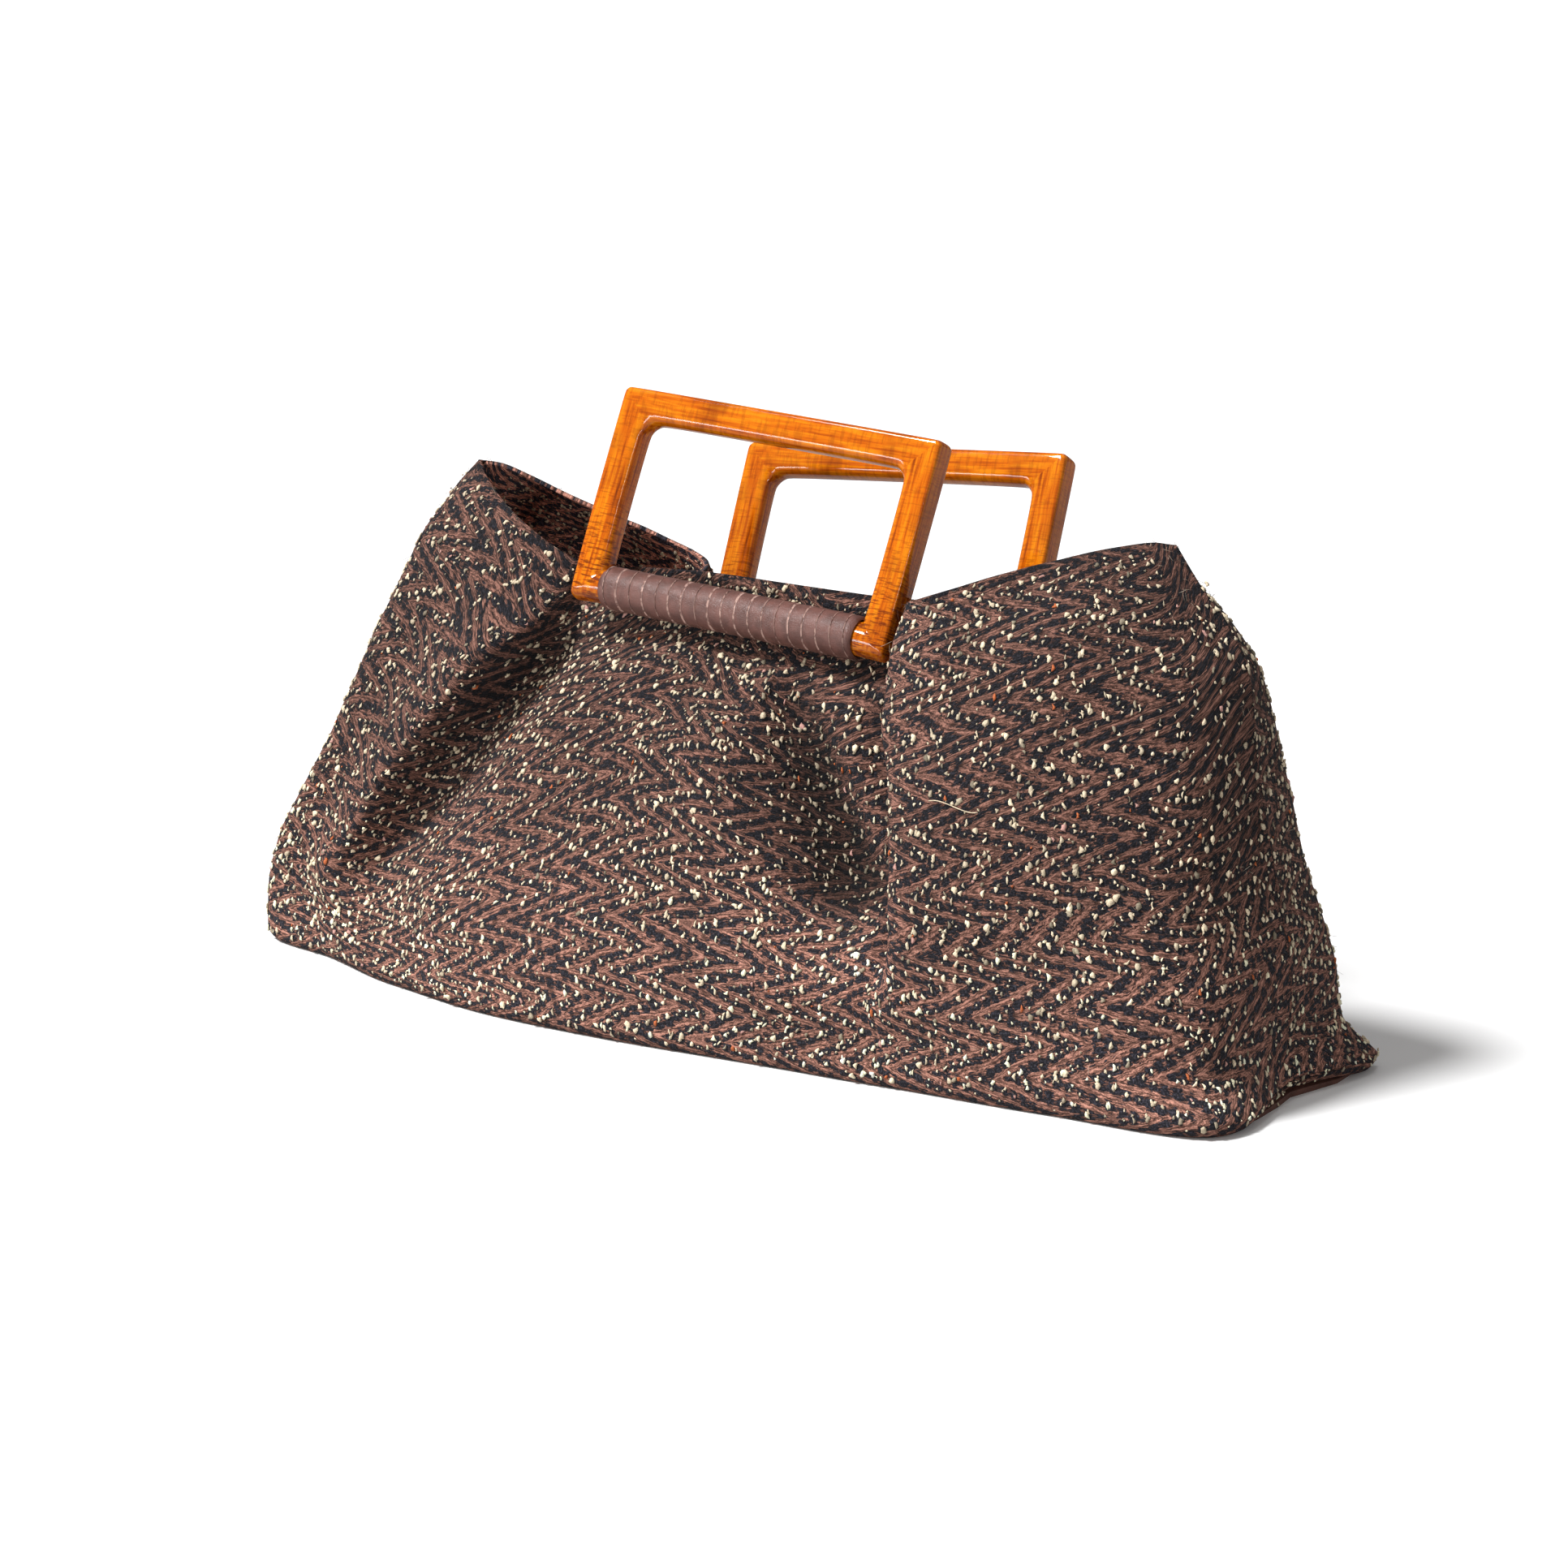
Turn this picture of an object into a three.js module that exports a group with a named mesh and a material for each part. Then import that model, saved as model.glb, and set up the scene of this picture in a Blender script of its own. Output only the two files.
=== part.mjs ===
import * as THREE from 'three';

// Soft tweed bag with two wooden frame handles, standing on its base.
// Millimetres. X runs along the bag, the front faces -Y, Z is up, the table is at z = 0.

// Body
const HALF_LENGTH = 246; // middle of the base to its end seam
const BELLY = 104; // middle plane to the fullest part of the front
const PEAK = 218.5; // table to the pinched top corners
const CLOTH = 2; // thickness of the tweed wall
const FIT = 0.3; // clearance between neighbouring pieces
const ROLL = 4.5; // radius of the cloth turned under at the table
const END_LIFT = 3.2; // how far the lower end edge bows off the table
const BACK_FULLNESS = 0.95; // the back bellies out a little less than the front
const BACK_TUCK = 0.09; // share of BELLY by which it is drawn in below its lower handle

// Base
const BASE_THICK = 2.4;
const BASE_TONGUE = 4; // leather showing under the raised end edge

// Handles
const HANDLE_WIDTH = 160;
const HANDLE_HEIGHT = 95;
const HANDLE_THICK = 12.5;
const POST_WIDTH = 14;
const TOP_WIDTH = 14;
const BAR_RADIUS = 7.2; // round lower bar inside the leather winding
const BAR_UP = 8.2; // lower edge of the frame to the axis of the bar
const WINDOW_ROUND = 8;
const FOOT_ROUND = 1; // window corners where the posts meet the bar
const FOOT_FLARE = 1.2; // the posts widen inwards at their feet
const OUTER_ROUND = 3;
const BARE_WOOD = 15.6; // beside each end of the winding
const CLOTH_FALL = 35; // slope of the cloth below the bar, degrees from upright
const HOLD = 6; // the cloth follows the handle this far past its sides

// Leather winding
const WRAP_WALL = 1.7;
const WRAP_TURNS = 19;
const WRAP_STEP = 0.45; // each turn laps over the one before

// How each handle sits on the cloth: the bottom middle of its front face as shares of
// HALF_LENGTH, BELLY and PEAK, then its turns in degrees
const FRONT_SEAT = { along: -0.0374, out: 0.4654, up: 0.7735, lean: 21.7, yaw: 3.1, tilt: -3.6 };
const BACK_SEAT = { along: 0.0374, out: -0.2779, up: 0.6847, lean: 26.8, yaw: 2.3, tilt: 3.6 };

// Ends of the bag at shares of the local height. Each pair is the place along the bag
// (share of HALF_LENGTH) and the distance from the middle plane (share of BELLY).
const ENDS = [
  { at: 0.03, seamL: -0.99, seamR: 0.995, frontL: [-1.015, 0.6], frontR: [1.015, 0.69], backR: [1.01, 0.61] },
  { at: 0.1, seamL: -1.0, seamR: 0.98, frontL: [-1.015, 0.6], frontR: [0.965, 0.63], backR: [0.955, 0.545] },
  { at: 0.2, seamL: -1.0, seamR: 0.98, frontL: [-1.0, 0.58], frontR: [0.95, 0.6], backR: [0.95, 0.5] },
  { at: 0.4, seamL: -0.96, seamR: 0.945, frontL: [-0.925, 0.485], frontR: [0.905, 0.54], backR: [0.905, 0.42] },
  { at: 0.6, seamL: -0.905, seamR: 0.905, frontL: [-0.86, 0.39], frontR: [0.87, 0.44], backR: [0.865, 0.355] },
  { at: 0.78, seamL: -0.845, seamR: 0.88, frontL: [-0.805, 0.28], frontR: [0.835, 0.33], backR: [0.83, 0.27] },
  { at: 0.87, seamL: -0.815, seamR: 0.835, frontL: [-0.775, 0.23], frontR: [0.79, 0.22], backR: [0.79, 0.19] },
  { at: 0.93, seamL: -0.785, seamR: 0.785, frontL: [-0.745, 0.16], frontR: [0.75, 0.145], backR: [0.75, 0.12] },
  { at: 1.0, seamL: -0.724, seamR: 0.736, frontL: [-0.69, 0.08], frontR: [0.7, 0.06], backR: [0.7, 0.06] },
];

// Folds of one panel, as seen facing it, in the same shares: a soft diagonal fold on the left
// (wing, fold, root), the belly, the dip sinking beside it, and the deep upright pleat on the right.
const FOLDS = [
  {
    at: 0.03, wingL: [-0.82, 0.745], foldL: [-0.66, 0.89], rootL: [-0.57, 0.94], bellyL: [-0.38, 1.03],
    belly: [-0.12, 1.03], shoulder: [0.14, 0.965], dip: [0.26, 0.935], facet: [0.34, 0.92],
    rootR: [0.4, 0.905], foldR: [0.47, 0.885], wingR: [0.73, 0.825],
  },
  {
    at: 0.1, wingL: [-0.88, 0.67], foldL: [-0.79, 0.725], rootL: [-0.71, 0.74], bellyL: [-0.45, 0.96],
    belly: [-0.14, 1.01], shoulder: [0.17, 0.97], dip: [0.285, 0.935], facet: [0.355, 0.915],
    rootR: [0.405, 0.895], foldR: [0.47, 0.885], wingR: [0.73, 0.83],
  },
  {
    at: 0.2, wingL: [-0.92, 0.61], foldL: [-0.86, 0.62], rootL: [-0.795, 0.59], bellyL: [-0.52, 0.87],
    belly: [-0.16, 0.98], shoulder: [0.2, 0.965], dip: [0.315, 0.915], facet: [0.37, 0.895],
    rootR: [0.41, 0.89], foldR: [0.465, 0.895], wingR: [0.73, 0.83],
  },
  {
    at: 0.4, wingL: [-0.86, 0.53], foldL: [-0.765, 0.58], rootL: [-0.715, 0.48], bellyL: [-0.5, 0.74],
    belly: [-0.14, 0.86], shoulder: [0.15, 0.875], dip: [0.29, 0.735], facet: [0.365, 0.68],
    rootR: [0.425, 0.71], foldR: [0.45, 0.89], wingR: [0.7, 0.82],
  },
  {
    at: 0.6, wingL: [-0.77, 0.47], foldL: [-0.64, 0.59], rootL: [-0.6, 0.43], bellyL: [-0.43, 0.58],
    belly: [-0.16, 0.69], shoulder: [0.03, 0.685], dip: [0.16, 0.53], facet: [0.275, 0.555],
    rootR: [0.38, 0.48], foldR: [0.415, 0.79], wingR: [0.67, 0.75],
  },
  {
    at: 0.78, wingL: [-0.68, 0.41], foldL: [-0.53, 0.5], rootL: [-0.49, 0.34], bellyL: [-0.33, 0.42],
    belly: [-0.14, 0.48], shoulder: [-0.02, 0.485], dip: [0.09, 0.45], facet: [0.22, 0.465],
    rootR: [0.335, 0.38], foldR: [0.35, 0.63], wingR: [0.63, 0.65],
  },
  {
    at: 0.87, wingL: [-0.63, 0.37], foldL: [-0.455, 0.4], rootL: [-0.42, 0.27], bellyL: [-0.27, 0.33],
    belly: [-0.12, 0.35], shoulder: [0, 0.35], dip: [0.11, 0.35], facet: [0.22, 0.35],
    rootR: [0.32, 0.32], foldR: [0.35, 0.6], wingR: [0.61, 0.57],
  },
  {
    at: 0.93, wingL: [-0.59, 0.32], foldL: [-0.43, 0.33], rootL: [-0.395, 0.24], bellyL: [-0.26, 0.28],
    belly: [-0.11, 0.28], shoulder: [0.01, 0.28], dip: [0.12, 0.28], facet: [0.23, 0.28],
    rootR: [0.32, 0.28], foldR: [0.36, 0.59], wingR: [0.6, 0.45],
  },
  {
    at: 1.0, wingL: [-0.55, 0.25], foldL: [-0.42, 0.26], rootL: [-0.385, 0.2], bellyL: [-0.26, 0.25],
    belly: [-0.1, 0.27], shoulder: [0.02, 0.27], dip: [0.12, 0.27], facet: [0.23, 0.265],
    rootR: [0.32, 0.25], foldR: [0.38, 0.575], wingR: [0.58, 0.28],
  },
];

// Height of the top edge over each fold line, as a share of PEAK
const FRONT_RIM = {
  seamL: 1, cornerL: 0.985, wingL: 0.915, foldL: 0.85, rootL: 0.835, bellyL: 0.85, belly: 0.86,
  shoulder: 0.86, dip: 0.86, facet: 0.86, rootR: 0.86, foldR: 0.885, wingR: 0.97, cornerR: 1.005, seamR: 1,
};
const BACK_RIM = {
  seamL: 1, cornerL: 0.985, wingL: 0.915, foldL: 0.83, rootL: 0.79, bellyL: 0.79, belly: 0.795,
  shoulder: 0.795, dip: 0.8, facet: 0.79, rootR: 0.78, foldR: 0.805, wingR: 0.92, cornerR: 0.99, seamR: 1,
};

// Fold lines from left to right and how finely the cloth is divided up to each
const LINES = [
  { name: 'seamL', steps: 0 },
  { name: 'cornerL', steps: 4 },
  { name: 'wingL', steps: 3 },
  { name: 'foldL', steps: 4 },
  { name: 'rootL', steps: 3 },
  { name: 'bellyL', steps: 3 },
  { name: 'belly', steps: 3 },
  { name: 'shoulder', steps: 3 },
  { name: 'dip', steps: 3 },
  { name: 'facet', steps: 2 },
  { name: 'rootR', steps: 3 },
  { name: 'foldR', steps: 4 },
  { name: 'wingR', steps: 4 },
  { name: 'cornerR', steps: 4 },
  { name: 'seamR', steps: 4 },
];
const ROWS_UP = 16;
const ROWS_CROWD = 1.4; // rows lie closer towards the top edge

const clamp = THREE.MathUtils.clamp;
const smooth = THREE.MathUtils.smoothstep;
const degrees = THREE.MathUtils.degToRad;

// Value between table rows of unequal spacing, without overshoot
function between(rows, pick, at) {
  let k = 0;
  while (k < rows.length - 2 && at > rows[k + 1].at) {
    k += 1;
  }
  const slope = (a) => (pick(rows[a + 1]) - pick(rows[a])) / (rows[a + 1].at - rows[a].at);
  const tangent = (a) => {
    if (a === 0) {
      return slope(0);
    }
    if (a === rows.length - 1) {
      return slope(a - 1);
    }
    const below = slope(a - 1);
    const above = slope(a);
    return below * above <= 0 ? 0 : (2 * below * above) / (below + above);
  };
  const span = rows[k + 1].at - rows[k].at;
  const s = (at - rows[k].at) / span;
  const rise = s * s * (3 - 2 * s);
  const start = s * (1 - s) * (1 - s) * span * tangent(k);
  const end = s * s * (s - 1) * span * tangent(k + 1);
  return pick(rows[k]) * (1 - rise) + pick(rows[k + 1]) * rise + start + end;
}

function seatMatrix(seat) {
  const turn = new THREE.Euler(-degrees(seat.lean), -degrees(seat.tilt), degrees(seat.yaw), 'ZXY');
  const matrix = new THREE.Matrix4().makeRotationFromEuler(turn);
  return matrix.setPosition(seat.along * HALF_LENGTH, -seat.out * BELLY, seat.up * PEAK);
}

// Keeps the cloth clear of the handle it is sewn to: round the wound bar and behind the posts.
// side is 1 where the cloth lies behind the handle, -1 where it lies in front of it.
function besideHandle(point, seat, side) {
  const matrix = seatMatrix(seat);
  const local = point.clone().applyMatrix4(matrix.clone().invert());
  const reach = HANDLE_WIDTH / 2 + HOLD;
  const hold = 1 - smooth(Math.abs(local.x), reach, reach + HOLD);
  const wound = BAR_RADIUS + FIT + WRAP_WALL + WRAP_STEP + FIT * 4;
  const square = Math.hypot(HANDLE_THICK / 2, BAR_UP) + FIT * 2;
  const foot = HANDLE_WIDTH / 2 - BARE_WOOD;
  const round = THREE.MathUtils.lerp(wound, square, smooth(Math.abs(local.x), foot - HOLD, foot));
  const fall = degrees(CLOTH_FALL - side * seat.lean);
  let out = (local.y - HANDLE_THICK / 2) * side;
  let up = local.z - BAR_UP;
  const away = Math.hypot(out, up);
  const ahead = out * Math.cos(fall) - up * Math.sin(fall);
  if (out * Math.sin(fall) + up * Math.cos(fall) < 0) {
    const fade = 1 - smooth(away, 3 * round, 5 * round);
    const shift = fade * Math.max(round - ahead, 0);
    out += shift * Math.cos(fall);
    up -= shift * Math.sin(fall);
  } else if (away < round) {
    out *= round / away;
    up *= round / away;
  }
  if (up > 0) {
    out = Math.max(out, HANDLE_THICK / 2 + FIT * 2);
  }
  const moved = new THREE.Vector3(local.x, HANDLE_THICK / 2 + side * out, BAR_UP + up);
  return local.lerp(moved, hold).applyMatrix4(matrix);
}

// One line of fold points across a panel at a share of the height, in the panel's own view
function foldPoints(panel, at) {
  return LINES.map(({ name }) => {
    const [along, out] = panel.place(name, at);
    return new THREE.Vector3(along * HALF_LENGTH, -out * BELLY, at * panel.rim[name] * PEAK);
  });
}

function foldPlace(name, at, fullness) {
  const along = between(FOLDS, (row) => row[name][0], at);
  const out = between(FOLDS, (row) => row[name][1], at);
  return [along, out * fullness];
}

const FRONT = {
  rim: FRONT_RIM,
  seat: FRONT_SEAT,
  turned: false,
  place(name, at) {
    const end = { cornerL: 'frontL', cornerR: 'frontR' }[name];
    if (name === 'seamL' || name === 'seamR') {
      return [between(ENDS, (row) => row[name], at), 0];
    }
    if (end) {
      return [between(ENDS, (row) => row[end][0], at), between(ENDS, (row) => row[end][1], at)];
    }
    return foldPlace(name, at, 1);
  },
};

const BACK = {
  rim: BACK_RIM,
  seat: BACK_SEAT,
  turned: true,
  place(name, at) {
    const end = { cornerL: 'backR', cornerR: 'frontL' }[name];
    if (name === 'seamL' || name === 'seamR') {
      const other = name === 'seamL' ? 'seamR' : 'seamL';
      return [-between(ENDS, (row) => row[other], at), 0];
    }
    if (end) {
      return [-between(ENDS, (row) => row[end][0], at), between(ENDS, (row) => row[end][1], at)];
    }
    const [along, out] = foldPlace(name, at, BACK_FULLNESS);
    const outside = /seam|corner|wing|foldR/.test(name);
    const drawn = outside ? 0 : BACK_TUCK;
    return [along, out - drawn * Math.exp(-(((at - 0.87) / 0.09) ** 2))];
  },
};

// Outer face of a panel as rows of points from the table up to the top edge
function outerRows(panel) {
  const lowest = ENDS[0].at;
  const rows = [];
  for (let i = -2; i <= ROWS_UP; i += 1) {
    const down = (1 - Math.max(i, 0) / ROWS_UP) ** ROWS_CROWD;
    const at = 1 - (1 - lowest) * down;
    const curve = new THREE.CatmullRomCurve3(foldPoints(panel, at), false, 'centripetal');
    const row = [];
    LINES.forEach(({ steps }, k) => {
      for (let s = 1; s <= Math.max(steps, 1); s += 1) {
        const t = k === 0 ? 0 : (k - 1 + s / steps) / (LINES.length - 1);
        const point = curve.getPoint(t);
        if (i < 0) {
          rollUnder(point, i, at * PEAK);
        }
        row.push(settle(point, panel, k === 0 || (k === LINES.length - 1 && s === steps)));
      }
    });
    rows.push(row);
  }
  return rows;
}

// The two lowest rows turn in under the bag, and bow off the table across the ends
function rollUnder(point, i, height) {
  const turn = (-i * Math.PI) / 4;
  const inset = ROLL * (1 - Math.cos(turn));
  point.x -= Math.sign(point.x) * inset * smooth(Math.abs(point.x), HALF_LENGTH / 2, HALF_LENGTH);
  point.y += inset * smooth(-point.y, 0, BELLY / 4);
  point.z = height * (1 - Math.sin(turn)) + endLift(point.x, point.y);
}

function endLift(x, y) {
  const near = smooth(Math.abs(x), HALF_LENGTH * 0.93, HALF_LENGTH * 0.96);
  const across = clamp(Math.abs(y) / (BELLY * 0.5), 0, 1);
  return END_LIFT * near * (1 - across * across);
}

function settle(point, panel, onSeam) {
  if (panel.turned) {
    point.set(-point.x, -point.y, point.z);
  }
  if (onSeam) {
    point.y = panel.turned ? FIT / 2 : -FIT / 2;
    return point;
  }
  return besideHandle(point, panel.seat, panel.turned ? -1 : 1);
}

// Inner face: the outer face moved in by the cloth's thickness
function innerRows(outer, panel) {
  const side = panel.turned ? 1 : -1;
  const across = new THREE.Vector3();
  const up = new THREE.Vector3();
  const last = outer.length - 1;
  const end = outer[0].length - 1;
  return outer.map((row, i) =>
    row.map((point, j) => {
      across.subVectors(row[Math.min(j + 1, end)], row[Math.max(j - 1, 0)]);
      up.subVectors(outer[Math.min(i + 1, last)][j], outer[Math.max(i - 1, 0)][j]);
      const normal = across.clone().cross(up).normalize();
      const inner = point.clone().addScaledVector(normal, -CLOTH);
      if (j === 0 || j === end) {
        const slant = Math.max(Math.abs(normal.x), 0.45);
        inner.set(point.x - (Math.sign(point.x) * CLOTH) / slant, point.y, point.z);
      } else if (side * inner.y < FIT / 2) {
        inner.y = (side * FIT) / 2;
      }
      return inner;
    }),
  );
}

function panelGeometry(panel) {
  const outer = outerRows(panel);
  const inner = innerRows(outer, panel);
  const wide = outer[0].length;
  const tall = outer.length;
  const positions = [];
  [outer, inner].forEach((face) => face.forEach((row) => row.forEach((p) => positions.push(p.x, p.y, p.z))));
  const index = [];
  const at = (face, i, j) => (face * tall + i) * wide + j;
  const quad = (a, b, c, d) => index.push(a, b, c, a, c, d);
  for (let i = 0; i < tall - 1; i += 1) {
    for (let j = 0; j < wide - 1; j += 1) {
      quad(at(0, i, j), at(0, i, j + 1), at(0, i + 1, j + 1), at(0, i + 1, j));
      quad(at(1, i, j), at(1, i + 1, j), at(1, i + 1, j + 1), at(1, i, j + 1));
    }
    quad(at(0, i, 0), at(0, i + 1, 0), at(1, i + 1, 0), at(1, i, 0));
    quad(at(0, i + 1, wide - 1), at(0, i, wide - 1), at(1, i, wide - 1), at(1, i + 1, wide - 1));
  }
  for (let j = 0; j < wide - 1; j += 1) {
    quad(at(0, 0, j + 1), at(0, 0, j), at(1, 0, j), at(1, 0, j + 1));
    quad(at(0, tall - 1, j), at(0, tall - 1, j + 1), at(1, tall - 1, j + 1), at(1, tall - 1, j));
  }
  return solid(positions, index);
}

function solid(positions, index) {
  const geometry = new THREE.BufferGeometry();
  geometry.setAttribute('position', new THREE.Float32BufferAttribute(positions, 3));
  geometry.setIndex(index);
  geometry.computeVertexNormals();
  return geometry;
}

// Flat leather base inside the turned-under cloth, reaching out below the raised end edges
function baseGeometry() {
  const edge = [];
  [FRONT, BACK].forEach((panel) => {
    const low = outerRows(panel)[0];
    low.slice(0, -1).forEach((p) => edge.push(new THREE.Vector3(p.x, p.y, endLift(p.x, p.y))));
  });
  const count = edge.length;
  const rings = [[], [], [], []];
  edge.forEach((p, k) => {
    const before = edge[(k + count - 1) % count];
    const after = edge[(k + 1) % count];
    const outward = new THREE.Vector2(after.y - before.y, before.x - after.x).normalize();
    const raised = Math.max(before.z, p.z, after.z) > 0.01;
    const tongue = BASE_TONGUE * smooth(p.z, BASE_THICK * 0.5, BASE_THICK);
    const top = raised ? clamp(p.z - FIT, FIT * 2, BASE_THICK) : BASE_THICK;
    const place = (ring, move, z) => ring.push(p.x + outward.x * move, p.y + outward.y * move, z);
    const clear = CLOTH * 0.5 + FIT;
    place(rings[0], tongue - clear, 0);
    place(rings[1], tongue - clear, top);
    place(rings[2], -clear - FIT, top);
    place(rings[3], -2 * clear, BASE_THICK);
  });
  const positions = [...rings.flat(), 0, 0, 0, 0, 0, BASE_THICK];
  const index = [];
  for (let k = 0; k < count; k += 1) {
    const next = (k + 1) % count;
    for (let r = 0; r < 3; r += 1) {
      const low = r * count;
      const high = low + count;
      index.push(low + k, low + next, high + next, low + k, high + next, high + k);
    }
    index.push(4 * count, next, k, 4 * count + 1, 3 * count + k, 3 * count + next);
  }
  return solid(positions, index);
}

// Where the frame's section runs from the window edge to the outer edge, round the whole handle
function frameStations() {
  const side = HANDLE_WIDTH / 2;
  const post = side - POST_WIDTH;
  const barTop = BAR_UP + BAR_RADIUS;
  const stations = [];
  const corner = (right, top, from) => {
    const sx = right ? 1 : -1;
    const round = top ? WINDOW_ROUND : FOOT_ROUND;
    const inX = sx * (post - round - (top ? 0 : FOOT_FLARE));
    const inZ = top ? HANDLE_HEIGHT - TOP_WIDTH - round : barTop + round;
    const outX = sx * (side - OUTER_ROUND);
    const outZ = top ? HANDLE_HEIGHT - OUTER_ROUND : OUTER_ROUND;
    for (let k = 0; k <= 4; k += 1) {
      const a = degrees(from + k * 22.5);
      const c = Math.cos(a);
      const s = Math.sin(a);
      const roundness = top ? 0 : 0.5 + 0.5 * Math.max(-s, 0);
      stations.push({
        outer: [outX + OUTER_ROUND * c, outZ + OUTER_ROUND * s],
        inner: [inX + round * c, inZ + round * s],
        roundness,
      });
    }
  };
  const straight = (outer, inner, roundness) => stations.push({ outer, inner, roundness });
  const bare = side - BARE_WOOD;
  const shoulder = HANDLE_HEIGHT * 0.3;
  corner(true, false, -90);
  straight([side, shoulder], [post, shoulder], 0);
  corner(true, true, 0);
  corner(false, true, 90);
  straight([-side, shoulder], [-post, shoulder], 0);
  corner(false, false, 180);
  straight([-bare, BAR_UP - BAR_RADIUS], [-bare, barTop], 1);
  straight([bare, BAR_UP - BAR_RADIUS], [bare, barTop], 1);
  return stations;
}

// Wooden frame: flat faces, crisp outer edges, well rounded window edges, round lower bar
function handleGeometry() {
  const around = 16;
  const positions = [];
  const stations = frameStations();
  stations.forEach(({ outer, inner, roundness }) => {
    const middle = [(outer[0] + inner[0]) / 2, (outer[1] + inner[1]) / 2];
    const half = [(outer[0] - inner[0]) / 2, (outer[1] - inner[1]) / 2];
    const thick = THREE.MathUtils.lerp(HANDLE_THICK / 2, BAR_RADIUS, roundness);
    for (let j = 0; j < around; j += 1) {
      const a = (2 * Math.PI * (j + 0.5)) / around;
      const c = Math.cos(a);
      const s = Math.sin(a);
      const power = 2 / THREE.MathUtils.lerp(c > 0 ? 7 : 3.2, 2, roundness);
      const across = Math.sign(c) * Math.abs(c) ** power;
      const deep = Math.sign(s) * Math.abs(s) ** power;
      positions.push(middle[0] + half[0] * across, HANDLE_THICK / 2 + thick * deep, middle[1] + half[1] * across);
    }
  });
  const index = [];
  stations.forEach((station, i) => {
    const next = (i + 1) % stations.length;
    for (let j = 0; j < around; j += 1) {
      const k = (j + 1) % around;
      index.push(i * around + j, i * around + k, next * around + k);
      index.push(i * around + j, next * around + k, next * around + j);
    }
  });
  return solid(positions, index);
}

// Leather tape wound along the lower bar, every turn stepping over the last
function wrapGeometry() {
  const length = HANDLE_WIDTH - 2 * BARE_WOOD - 2 * FIT;
  const inside = BAR_RADIUS + FIT;
  const profile = [];
  for (let k = 0; k < WRAP_TURNS; k += 1) {
    const start = -length / 2 + (length * k) / WRAP_TURNS;
    const stop = start + (length * 0.9) / WRAP_TURNS;
    profile.push(new THREE.Vector2(inside + WRAP_WALL, start));
    profile.push(new THREE.Vector2(inside + WRAP_WALL + WRAP_STEP, stop));
  }
  profile.push(new THREE.Vector2(inside + WRAP_WALL, length / 2));
  profile.push(new THREE.Vector2(inside, length / 2));
  profile.push(new THREE.Vector2(inside, -length / 2));
  profile.push(profile[0].clone());
  const tube = new THREE.LatheGeometry(profile, 14);
  tube.rotateZ(-Math.PI / 2);
  tube.translate(0, HANDLE_THICK / 2, BAR_UP);
  return tube;
}

function addPiece(group, name, geometry, color, roughness) {
  const mesh = new THREE.Mesh(geometry, new THREE.MeshStandardMaterial({ color, roughness }));
  mesh.name = name;
  group.add(mesh);
}

const TWEED = 0x4a352f;
const LEATHER = 0x4b3029;
const WOOD = 0xc86a14;

const bag = new THREE.Group();
bag.name = 'wooden_handle_bag';
addPiece(bag, 'front_panel', panelGeometry(FRONT), TWEED, 0.95);
addPiece(bag, 'back_panel', panelGeometry(BACK), TWEED, 0.95);
addPiece(bag, 'base_panel', baseGeometry(), LEATHER, 0.6);
[['front', FRONT_SEAT], ['back', BACK_SEAT]].forEach(([which, seat]) => {
  const handle = new THREE.Group();
  handle.name = `${which}_handle_assembly`;
  seatMatrix(seat).decompose(handle.position, handle.quaternion, handle.scale);
  addPiece(handle, `${which}_handle`, handleGeometry(), WOOD, 0.25);
  addPiece(handle, `${which}_wrap`, wrapGeometry(), LEATHER, 0.5);
  bag.add(handle);
});

// The bag stands with the middle of its overall box over the origin
const middle = new THREE.Box3().setFromObject(bag).getCenter(new THREE.Vector3());
bag.position.set(-middle.x, -middle.y, 0);

export default bag;
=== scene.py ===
"""Looks of the soft tweed bag with two wooden frame handles: cloth, slubs, leather, wood and stage."""

import math
import random

import bpy
import numpy as np
from mathutils import Matrix, Vector, noise


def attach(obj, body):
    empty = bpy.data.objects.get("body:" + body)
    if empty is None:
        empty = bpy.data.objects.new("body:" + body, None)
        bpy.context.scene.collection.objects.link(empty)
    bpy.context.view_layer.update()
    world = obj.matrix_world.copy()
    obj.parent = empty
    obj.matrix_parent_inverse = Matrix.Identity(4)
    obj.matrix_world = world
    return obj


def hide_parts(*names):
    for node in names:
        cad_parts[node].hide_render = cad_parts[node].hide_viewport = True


bl_info = {
    "name": "Wooden Handle Bag",
    "version": (1, 0, 0),
    "blender": (4, 5, 0),
    "location": "View3D > Sidebar > Handle Bag",
    "description": "Builds the tweed, leather and wood of a soft bag round its packed model",
    "category": "Object",
}

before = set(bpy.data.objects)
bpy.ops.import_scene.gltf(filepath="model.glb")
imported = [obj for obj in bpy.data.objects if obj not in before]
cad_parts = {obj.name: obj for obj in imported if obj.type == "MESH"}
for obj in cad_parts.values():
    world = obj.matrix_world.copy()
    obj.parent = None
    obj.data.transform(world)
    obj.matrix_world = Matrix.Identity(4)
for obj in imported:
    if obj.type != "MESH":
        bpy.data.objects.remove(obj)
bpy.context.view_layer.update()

MM = 0.001
SEED = 7

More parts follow.
